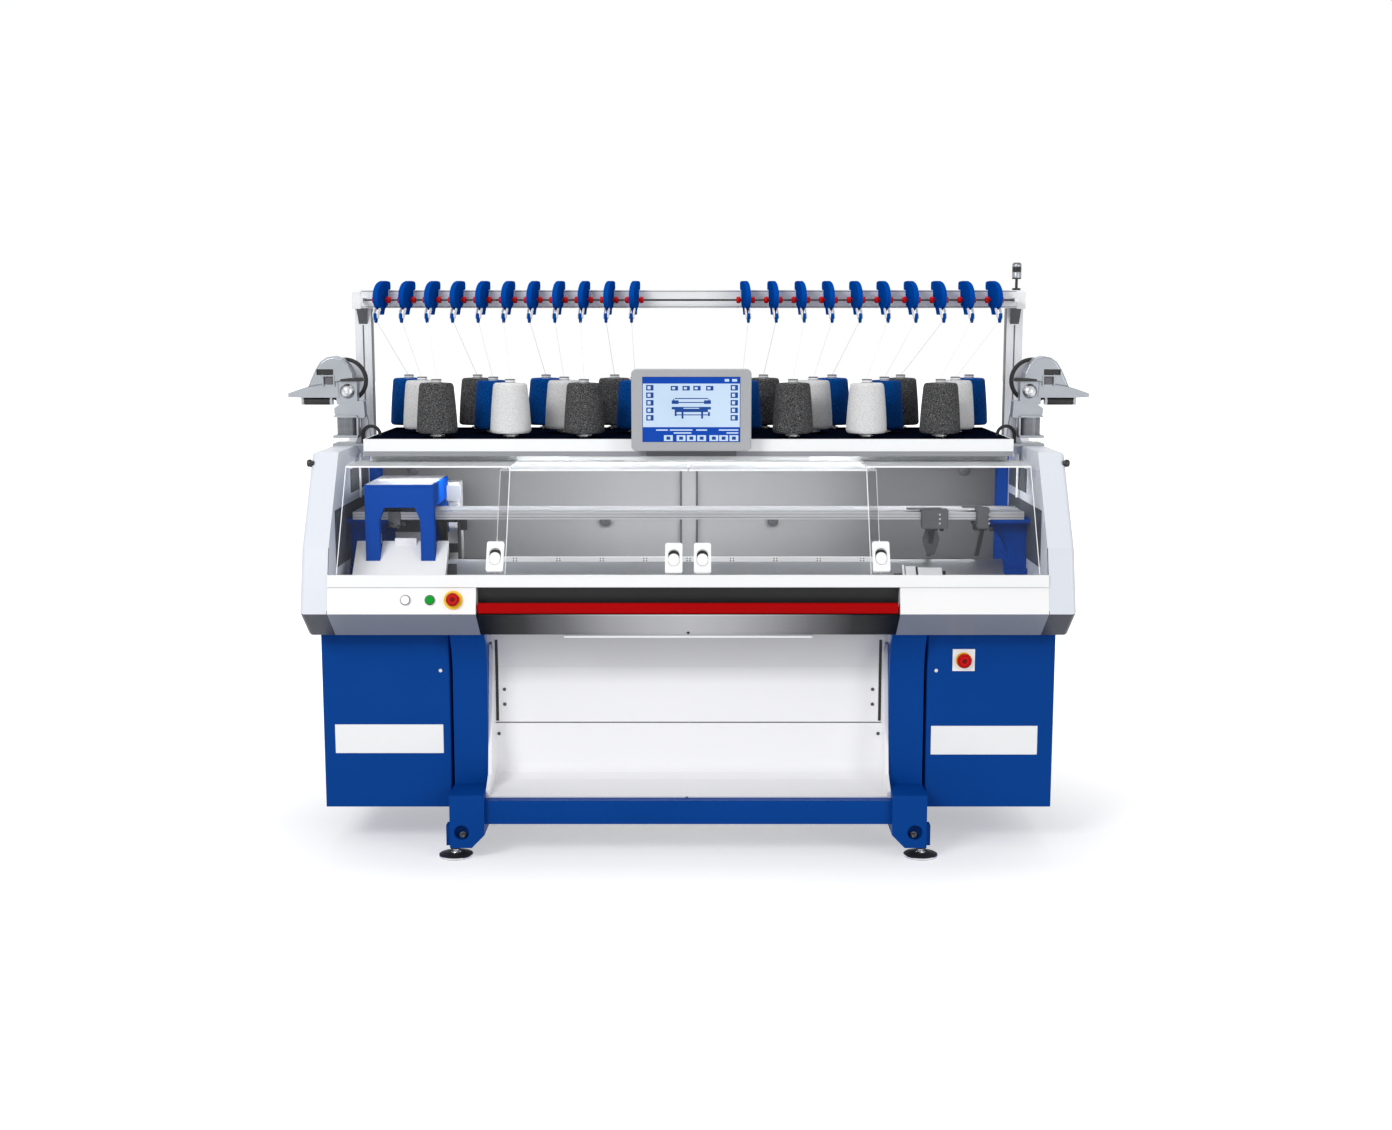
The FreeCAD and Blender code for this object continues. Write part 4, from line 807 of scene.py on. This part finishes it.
yarn_blue = wound_yarn("yarn_blue", srgb(0, 72, 154), srgb(8, 108, 204), 0.3)
yarn_charcoal = wound_yarn("yarn_charcoal", srgb(68, 68, 69), srgb(158, 158, 159))
yarn_grey = wound_yarn("yarn_grey", srgb(252, 252, 253), srgb(255, 255, 255), 0.2, 0.72)
dress(yarn_charcoal, "yarn_cones")


def cone_places():
    """Each cone's number, its place on the right side, and its row from the front."""
    for n in range(11):
        row = (1, 2, 0)[n % 3]
        yield n, CONE_FIRST + n * CONE_PITCH, CONE_ROWS[row], row


def cone_yarn(n, row):
    """Grey and blue take turns in the middle row; the rest is charcoal with a few others."""
    if row == 1:
        return yarn_grey if n % 2 == 1 else yarn_blue
    if row == 2:
        return yarn_blue if n in (10, 4) else yarn_charcoal
    return yarn_grey if n == 5 else yarn_charcoal


def wound_cone(name, x, y, surface):
    low, high, top = CONE_LOW_RADIUS, CONE_HIGH_RADIUS, CONE_HEIGHT
    profile = [(TUBE_RADIUS + 1, 0), (low * 0.55, 0.5), (low - 7, 0)]
    for k in range(CONE_STEPS + 1):
        t = k / CONE_STEPS
        swell = 1.2 * math.sin(math.pi * t)
        shoulder = 3 * max(0.0, 1 - k) + max(0.0, k - CONE_STEPS + 1)
        uneven = rng.uniform(-0.2, 0.2)
        profile.append((low + (high - low) * t + swell - shoulder + uneven, 3 + t * (top - 11)))
    profile += [(high - 2.5, top - 4.5), (high - 7, top - 1), (high - 22, top),
                (TUBE_RADIUS + 4, top - 1), (TUBE_RADIUS + 0.6, top - 4)]
    return Piece(name, surface, bevel=0).turned(profile, (x, y, CONE_BASE_Z), segments=48).done()


cones = []
for n, x, y, row in cone_places():
    for way, word in ((-1, "left"), (1, "right")):
        cones.append(wound_cone("cone_%s_%02d" % (word, n + 1), way * x, y, cone_yarn(n, row)))
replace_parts(cones[0], "yarn_cones")


# ---------------------------------------------------------------- tubes and pegs
# Each package is wound on a moulded white tube with a grey rim at its mouth. The tube slips
# over a turned steel peg, which is screwed to the table with a flange.
PEG_FLANGE = [(0, 1368), (15, 1368), (13, 1372), (25, 1372.6), (26, 1374), (26, 1377), (0, 1377)]
PEG_STEM = [(13.5, 1378), (13.5, 1440), (6, 1475), (0, 1476)]
TUBE = [(15.2, 1378), (TUBE_RADIUS, 1378), (TUBE_RADIUS, 1561), (17.6, 1563), (17.6, 1567),
        (15.6, 1567.4), (15, 1566), (15, 1480)]
RIM_TOP = [(15.4, 1566.9), (15.6, 1568), (17.2, 1568), (17.9, 1567), (17.9, 1564.6),
           (17.3, 1564.2)]
RIM_RING = [(17.3, 1557.4), (18, 1557.4), (18, 1558.8), (17.3, 1558.8)]

dress(white_plastic, "cone_tubes")
pegs = Piece("cone_pegs", steel, bevel=0, both=True)
tubes = Piece("cone_tubes_round", white_plastic, bevel=0, both=True)
rims = Piece("cone_tube_rims", grey_plastic, bevel=0, both=True)
for n, x, y, row in cone_places():
    foot = (x, y, 0)
    pegs.turned(PEG_FLANGE, foot, segments=24).turned(PEG_STEM, foot, segments=16)
    tubes.turned(TUBE, foot, segments=28)
    rims.turned(RIM_TOP, foot, segments=28).turned(RIM_RING, foot, segments=28)
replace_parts(tubes.done("tube_grey"), "cone_tubes")
rims.done("tube_grey")
pegs.done("machined_steel")


# ---------------------------------------------------------------- uprights and their rail
# Two drawn aluminium posts with dark slots stand on the side covers and hold a white painted
# rail across the machine. Small grey caps close the gussets where rail and posts meet.
LINE_X, LINE_Y, LINE_Z = (-1168, 1168), (254.4, 255.4), (1868, 1813)

post_aluminium = brushed("post_aluminium", srgb(240, 243, 250), 0.3, (60, 60, 1), 0.15, 0.08)
dress(post_aluminium, "uprights")
dress(bar_paint, "tension_rail")
Piece("gusset_caps", grey_plastic, both=True).prism(
    [(296, 1809.5), (296, 1752), (256, 1806), (256, 1809.5)], "x", 1155, 1187).done()
Piece("upright_edges", black_plastic, bevel=0.3, both=True).box(
    (1141.2, 1143), (295, 335), (1336, 1809)).box(
    (1170.4, 1172.6), (294.4, 295.6), (1344, 1750)).done()
rail_lines = Piece("rail_lines", grey_plastic, bevel=0.2)
for low in LINE_Z:
    rail_lines.box(LINE_X, LINE_Y, (low, low + 2))
rail_lines.done()


# ---------------------------------------------------------------- yarn tensioners
# Twenty-one blue moulded crescents are clamped on a thin rod along the rail, turned a little to
# the middle. Each has a white arm with an eyelet, a blue tip and two red knobs on the rod.
TENSION_Y, TENSION_Z = 200.0, 1838.0
TENSION_TURN = math.radians(6)
ROD_HALF, ROD_RADIUS = 1150, 3.4


def spread_out(first, last, count):
    return [first + k * (last - first) / (count - 1) for k in range(count)]


def rounded(outline, rounds=2):
    """Cut the corners of a closed outline again and again."""
    for _ in range(rounds):
        cut = []
        for (a, b), (c, d) in zip(outline, outline[1:] + outline[:1]):
            cut += [(0.75 * a + 0.25 * c, 0.75 * b + 0.25 * d),
                    (0.25 * a + 0.75 * c, 0.25 * b + 0.75 * d)]
        outline = cut
    return outline


LEFT_TENSIONS = spread_out(-1086, -192, 11)
RIGHT_TENSIONS = spread_out(201, 1080, 10)
crescent = rounded([(55, 36), (55, -14), (30, -25), (12, -30), (0, -50), (-9, -53), (-16, -34),
                    (-52, -30), (-81, -8), (-79, 24), (-44, 54), (14, 67), (52, 67), (88, 65),
                    (89, 46), (86, 35.6)])
cheek = rounded([(30, 22), (30, -10), (-12, -20), (-48, -18), (-64, -2), (-62, 20), (-30, 40),
                 (14, 48)])
arm = rounded([(-52, -26), (-34, -30), (-56, -50), (-66, -67), (-84, -65), (-86, -42)], 1)
tip = rounded([(-86, -44), (-74, -50), (-62, -66), (-70, -80), (-80, -80), (-88, -62)])
knob = [(3.6, 0.2), (5, 0.3), (5.4, 3), (10.8, 4.5), (12.6, 11), (10.8, 17.5), (5, 20),
        (3.6, 20.2)]

blue_plastic = moulded("blue_plastic", srgb(3, 72, 164), 0.34, 0.1, 0.04, gloss=0.0)
dress(blue_plastic, "tensioner_frames")
dress(white_plastic, "tensioner_arms")
dress(red_plastic, "tensioner_knobs")
bodies = Piece("tensioner_bodies", blue_plastic, bevel=2.2)
arms = Piece("tensioner_eyelets", white_plastic)
tips = Piece("tensioner_tips", blue_plastic, bevel=1.6)
knobs = Piece("tensioner_balls", red_plastic, bevel=0)
for x in LEFT_TENSIONS + RIGHT_TENSIONS:
    spin = Matrix.Translation((x * MM, TENSION_Y * MM, TENSION_Z * MM)) @ Matrix.Rotation(
        math.copysign(TENSION_TURN, x), 4, "Z")
    before = {piece: len(piece.bm.verts) for piece in (bodies, arms, tips)}
    bodies.prism(crescent, "x", -9, 9).prism(cheek, "x", -11, 11)
    arms.prism(arm, "x", -9, -6).prism(arm, "x", 6, 9).turned(
        [(2.4, -3), (5, -3), (6, 0), (5, 3), (2.4, 3)], (0, -76, -60), (0, 0.3, 1), 16)
    tips.prism(tip, "x", -4.5, 4.5)
    for way in (-1, 1):
        bodies.turned([(0, 11), (13, 11), (13, 12), (10, 12.8), (0, 12.8)], (0, -32, 18),
                      (way, 0, 0), 20)
        knobs.turned(knob, (x + way * 14, TENSION_Y, TENSION_Z), (way, 0, 0), 20)
    for piece, count in before.items():
        piece.bm.verts.ensure_lookup_table()
        bmesh.ops.transform(piece.bm, matrix=spin, verts=piece.bm.verts[count:])
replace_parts(bodies.done("tension_blue"), "tensioner_frames")
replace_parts(arms.done("tension_arm"), "tensioner_arms")
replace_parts(knobs.done("tension_red"), "tensioner_knobs")
tips.done("tension_blue")
Piece("tension_rod_sleeve", black_plastic, bevel=0).turned(
    [(0, -ROD_HALF), (ROD_RADIUS, -ROD_HALF), (ROD_RADIUS, ROD_HALF), (0, ROD_HALF)],
    (0, TENSION_Y, TENSION_Z), (1, 0, 0), 12).done()


# ---------------------------------------------------------------- yarn ends
# A single pale end is drawn from the rim of each cone's tube up to its tensioner's eyelet. It
# is twisted yarn just over a millimetre thick, held taut, with a few millimetres of sag.
YARN_RADIUS, YARN_SAG, RIM_Z = 0.6, 3, 1568
EYELET_REACH, EYELET_DROP = 76, 68

yarn_thread = moulded("yarn_thread", srgb(252, 252, 253), 0.8, 0.3)
dress(yarn_thread, "yarn_ends")


def yarn_end(name, points):
    """A thin round line through points in millimetres, fixed to the machine."""
    data = bpy.data.curves.new(name, "CURVE")
    data.dimensions = "3D"
    data.bevel_depth = YARN_RADIUS * MM
    data.bevel_resolution = 2
    data.use_fill_caps = True
    spline = data.splines.new("NURBS")
    spline.points.add(len(points) - 1)
    for point, (x, y, z) in zip(spline.points, points):
        point.co = (x * MM, y * MM, z * MM, 1)
    spline.order_u = 3
    spline.use_endpoint_u = True
    data.materials.append(yarn_thread.material)
    piece = bpy.data.objects.new(name, data)
    bpy.context.scene.collection.objects.link(piece)
    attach(piece, "machine")
    return piece


ends = []
for way, eyes, word in ((1, RIGHT_TENSIONS, "right"), (-1, LEFT_TENSIONS[::-1], "left")):
    for (n, x, y, row), eye_x in zip(cone_places(), eyes):
        rim_y = y + (1 if row == 0 else -1) * (TUBE_RADIUS - 1)
        start = Vector((way * x, rim_y, RIM_Z))
        turn = math.copysign(TENSION_TURN, eye_x)
        eyelet = Vector((eye_x + EYELET_REACH * math.sin(turn),
                         TENSION_Y - EYELET_REACH * math.cos(turn), TENSION_Z - EYELET_DROP))
        middle = (start + eyelet) / 2 - Vector((0, 0, YARN_SAG))
        ends.append(yarn_end("yarn_%s_%02d" % (word, n + 1), [start, middle, eyelet]))
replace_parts(ends[0], "yarn_ends")


# ---------------------------------------------------------------- side feeders
# A feeder on each side cover gives out yarn with a rubber-rimmed wheel. Its body and frames are
# silver castings, its motor is ribbed plastic, and a rubber roller and a steel ball are in front.
WHEEL, MOTOR = (1200, 100, 1560), (1190, 62, 1372)
ROLLER, BALL = (1291, 53, 1489), (1183, 50, 1524)
FIN_PITCH = 4

silver_cast = moulded("silver_cast", srgb(158, 162, 168), 0.32, 0.3, 0.05, 0.7)
dress(silver_cast, "feeder_bodies")
dress(rubber, "feeder_wheel_left", "feeder_wheel_right")
Piece("feeder_windows", black_plastic, bevel=0.5, both=True).box(
    (1228.2, 1285.8), (36, 38.2), (1580.2, 1599.8)).prism(
    [(1120, 1563), (1128, 1572), (1204, 1566), (1204, 1558), (1130, 1558)], "y", 25, 31).done()
Piece("feeder_pane", grey_plastic, bevel=1.5, both=True).box(
    (1230, 1261), (33, 38.2), (1547, 1574)).done()
Piece("feeder_frames", silver_cast, bevel=1, both=True).prism(
    [(1224, 1542), (1224, 1580), (1229, 1584), (1229, 1542)], "y", 25, 30).box(
    (1262, 1267), (25, 30), (1542, 1582)).box((1226, 1265), (25, 30), (1575, 1580)).box(
    (1148, 1234), (20, 102), (1363, 1371.8)).box((1150, 1230), (24, 100), (1434.2, 1441)).box(
    (1146, 1153), (26, 60), (1371, 1435)).done()
Piece("feeder_rollers", rubber, bevel=0, both=True).turned(
    [(0, -46), (11, -46), (12.8, -43), (12.8, 43), (11, 46), (0, 46)], ROLLER,
    (1, 0, 0)).done()
fins = [(34, 0)]
for low in range(0, 15 * FIN_PITCH, FIN_PITCH):
    fins += [(36.6, low + 1), (36.6, low + 3), (35.2, low + 4)]
Piece("feeder_motors", grey_plastic, bevel=0, both=True).turned(fins + [(34, 62)], MOTOR).done()
Piece("feeder_balls", steel, bevel=0, both=True).turned(
    [(0, 28.5), (12, 26), (20, 20.5), (26.5, 11), (28.4, 0)], BALL, (0, -1, 0)).done()
for side, way in (("left", -1), ("right", 1)):
    centre = (way * WHEEL[0], WHEEL[1], WHEEL[2])
    Piece("feeder_disc_" + side, silver_cast, "feeder_wheel_" + side, 0).turned(
        [(8.5, 17.4), (14, 18.6), (20, 17.4), (62, 17.0), (66, 16)], centre, (0, -1, 0),
        48).turned([(8.5, 3.4), (20, 3.2), (62, 3.0), (66, 2)], centre, (0, 1, 0), 48).done()


# ---------------------------------------------------------------- screen
# The control screen is a grey moulded housing with vents behind, on a tilting aluminium
# bracket. Its page is lit from within: a blue ground, a pale field, icons and a small machine.
SCREEN_Y = -180.0
SCREEN_LOW, SCREEN_HIGH = 1364.0, 1582.0
SCREEN_LEFT, SCREEN_RIGHT = -154.0, 174.0
FRAME_WIDTH, FRAME_Y = 0.8, (SCREEN_Y - 1.6, SCREEN_Y)
VENT_FIRST, VENT_PITCH, VENT_WIDTH = -90, 15, 8
VENT_Y, VENT_Z = (-138.2, -137.4), (1500, 1560)

screen_plastic = moulded("screen_plastic", srgb(172, 174, 178), 0.34, 0.2, 0.03)
dress(screen_plastic, "screen_housing")
dress(aluminium, "screen_bracket")


def glowing(name, colour, strength):
    """A lit face with a faint uneven glow."""
    lit = Surface(name, shade(colour, 0.04), 0.3).put("Specular IOR Level", 0.1)
    glow = lit.group(clouds, {"Dark": shade(colour, 0.94), "Light": shade(colour, 1.04),
                              "Scale": 8, "Detail": 3, "Start": 0.2, "End": 0.8})
    return lit.put("Emission Color", glow["Tone"]).put("Emission Strength", strength)


def on_screen(name, rects, surface, lift):
    """Flat areas of the display, as (left, low, right, high) parts of its width and height."""
    piece = Piece(name, surface, "screen", 0)
    wide, tall = SCREEN_RIGHT - SCREEN_LEFT, SCREEN_HIGH - SCREEN_LOW
    for a, b, c, d in rects:
        piece.box((SCREEN_LEFT + a * wide, SCREEN_LEFT + c * wide),
                  (SCREEN_Y - lift, SCREEN_Y - 0.02),
                  (SCREEN_LOW + b * tall, SCREEN_LOW + d * tall))
    piece.done()


def trimmed(rects, left, low, right, high):
    return [(a + left, b + low, c - right, d - high) for a, b, c, d in rects]


display_blue = glowing("display_blue", srgb(8, 72, 180), 0.95)
display_light = glowing("display_light", srgb(206, 228, 252), 0.95)
display_dark = glowing("display_dark", srgb(30, 76, 158), 0.9)
small_machine = [
    (0.33, 0.66, 0.67, 0.675), (0.30, 0.585, 0.37, 0.64), (0.63, 0.585, 0.70, 0.64),
    (0.36, 0.60, 0.64, 0.615), (0.30, 0.50, 0.70, 0.54), (0.33, 0.46, 0.67, 0.50),
    (0.33, 0.41, 0.69, 0.425), (0.33, 0.40, 0.35, 0.46), (0.67, 0.40, 0.69, 0.46),
    (0.40, 0.36, 0.42, 0.46), (0.60, 0.36, 0.62, 0.46), (0.315, 0.62, 0.325, 0.66),
    (0.675, 0.62, 0.685, 0.66)]
marks = [(left, 0.79 - 0.115 * k, left + 0.075, 0.875 - 0.115 * k) for left in (0.04, 0.90)
         for k in range(5)]
marks += [(left, 0.79, left + 0.075, 0.86) for left in (0.29, 0.41, 0.52, 0.65)]
icons = [(left, 0.015, left + 0.09, 0.105)
         for left in (0.22, 0.35, 0.455, 0.56, 0.685, 0.785, 0.89)]
bars = [(0.14, 0.175, 0.26, 0.195), (0.28, 0.175, 0.51, 0.195), (0.55, 0.175, 0.66, 0.195),
        (0.78, 0.175, 0.98, 0.195), (0.32, 0.13, 0.50, 0.15), (0.86, 0.13, 0.98, 0.15),
        (0.84, 0.925, 0.885, 0.965), (0.915, 0.925, 0.965, 0.965)]
on_screen("display_back", [(0, 0, 1, 1)], display_blue, 0.3)
on_screen("display_field", [(0.006, 0.23, 0.994, 0.895)] + icons + bars, display_light, 0.6)
on_screen("display_marks", marks + small_machine + trimmed(icons, 0.025, 0.02, 0.025, 0.02),
          display_dark, 0.9)
on_screen("display_gaps", trimmed(marks, 0.014, 0.018, 0.03, 0.018) + [
    (0.42, 0.512, 0.58, 0.525)], display_light, 1.2)
frame_lines = Piece("display_frame", black_plastic, "screen", 0.3)
for low in (SCREEN_HIGH - FRAME_WIDTH, SCREEN_LOW):
    frame_lines.box((SCREEN_LEFT, SCREEN_RIGHT), FRAME_Y, (low, low + FRAME_WIDTH))
for left in (SCREEN_LEFT, SCREEN_RIGHT - FRAME_WIDTH):
    frame_lines.box((left, left + FRAME_WIDTH), FRAME_Y, (SCREEN_LOW, SCREEN_HIGH))
frame_lines.done()
vents = Piece("screen_vents", black_plastic, "screen", 0)
for left in range(VENT_FIRST, VENT_FIRST + 14 * VENT_PITCH, VENT_PITCH):
    vents.box((left, left + VENT_WIDTH), VENT_Y, VENT_Z)
vents.done()


# ---------------------------------------------------------------- signal lamp
# A small lamp on a stem tops the right upright. Its lens is dark clear plastic with fine ridges
# between a silver collar and a rounded cap, all pressed together.
LAMP = (1178, 315, 0)
LENS_RADIUS, LENS_LOW, LENS_HIGH, RIDGE_PITCH = 16.4, 1939, 1956, 2

lamp_lens = moulded("lamp_lens", srgb(40, 42, 46), 0.12, 0.05, 0.1)
dress(black_plastic, "signal_lamp")
Piece("lamp_cap", silver_cast, bevel=0).turned(
    [(16.6, 1918), (16.6, 1936), (15, 1939)], LAMP).turned(
    [(0, 1971.6), (9, 1971.6), (15, 1968), (16.6, 1962), (16.6, 1957), (15, 1956)], LAMP).done()
ridges = [(LENS_RADIUS, LENS_LOW)]
for k in range(8):
    ridges += [(LENS_RADIUS + 0.8, LENS_LOW + 1 + RIDGE_PITCH * k),
               (LENS_RADIUS, LENS_LOW + 2 + RIDGE_PITCH * k)]
Piece("lamp_body", lamp_lens, bevel=0).turned(ridges + [(LENS_RADIUS, LENS_HIGH)], LAMP).done(
    "lamp_plastic")


# ---------------------------------------------------------------- stage, lamps and camera
# The machine stands on a white floor that fades into a white background, lit by soft panels
# from in front and above, with a strip of light under the cone table. The camera is the photo's.
FLOOR_HALF = 40.0
SHADOW_START, SHADOW_END, SHADOW_GLOW = 0.9, 3.2, 0.42
WORLD_LEVEL = 0.5
CAMERA_PLACE = (0.0256, -5.881, 1.789)
CAMERA_DIP = 8.4
PHOTO_WIDTH, FOCAL_PIXELS = 1392, 1700


def seen_rays(nodes):
    """One for the camera's own rays and for those that mirror or pass through a piece."""
    path = nodes.add("ShaderNodeLightPath").outputs
    seen = path["Is Camera Ray"]
    for ray in ("Is Glossy Ray", "Is Transmission Ray"):
        seen = maths(nodes, "MAXIMUM", seen, path[ray])
    return seen


def stand_floor():
    """A floor that glows white away from the machine, and keeps the shadow near it."""
    mesh = bpy.data.meshes.new("floor")
    size = FLOOR_HALF
    mesh.from_pydata([(-size, -size, 0), (size, -size, 0), (size, size, 0), (-size, size, 0)],
                     [], [(0, 1, 2, 3)])
    floor = bpy.data.objects.new("floor", mesh)
    bpy.context.scene.collection.objects.link(floor)
    white = Surface("floor_white", srgb(226, 226, 227), 0.9).put("Specular IOR Level", 0.0)
    away = white.add("ShaderNodeVectorMath", {0: white.place((0.8, 1, 1))})
    away.operation = "LENGTH"
    glow = white.span(away.outputs["Value"], SHADOW_START, SHADOW_END, SHADOW_GLOW, 1)
    white.put("Emission Color", (1, 1, 1, 1))
    white.put("Emission Strength", maths(white, "MULTIPLY", glow, seen_rays(white)))
    mesh.materials.append(white.material)


def light(name, place, aim, size, power):
    data = bpy.data.lights.new(name, "AREA")
    data.shape = "RECTANGLE"
    data.size, data.size_y = size
    data.energy = power
    lamp = bpy.data.objects.new(name, data)
    lamp.location = place
    lamp.rotation_euler = (Vector(aim) - Vector(place)).to_track_quat("-Z", "Y").to_euler()
    bpy.context.scene.collection.objects.link(lamp)


stand_floor()
sky = bpy.data.worlds.new("studio")
sky.use_nodes = True
sky_nodes = Nodes(sky.node_tree)
back = sky.node_tree.nodes["Background"].inputs
sky_nodes.feed(back["Color"], (1, 1, 1, 1))
sky_nodes.feed(back["Strength"], sky_nodes.span(seen_rays(sky_nodes), 0, 1, WORLD_LEVEL, 1))
bpy.context.scene.world = sky

light("key", (-3.5, -5.5, 4.6), (0, 0, 1.0), (2.5, 2), 196)
light("fill", (4.5, -5.0, 2.6), (0, 0, 1.0), (2, 3), 73)
light("top", (0, 0.5, 5.5), (0, 0, 1), (4, 2), 55)
light("inside", (0, -0.09, 1.262), (0, 0.33, 0.95), (2.1, 0.05), 7)

lens = bpy.data.cameras.new("camera")
lens.sensor_width = 36
lens.lens = lens.sensor_width * FOCAL_PIXELS / PHOTO_WIDTH
camera = bpy.data.objects.new("camera", lens)
camera.location = CAMERA_PLACE
camera.rotation_euler = (math.radians(90 - CAMERA_DIP), 0, 0)
bpy.context.scene.collection.objects.link(camera)
bpy.context.scene.camera = camera
bpy.context.scene.view_settings.view_transform = "Standard"
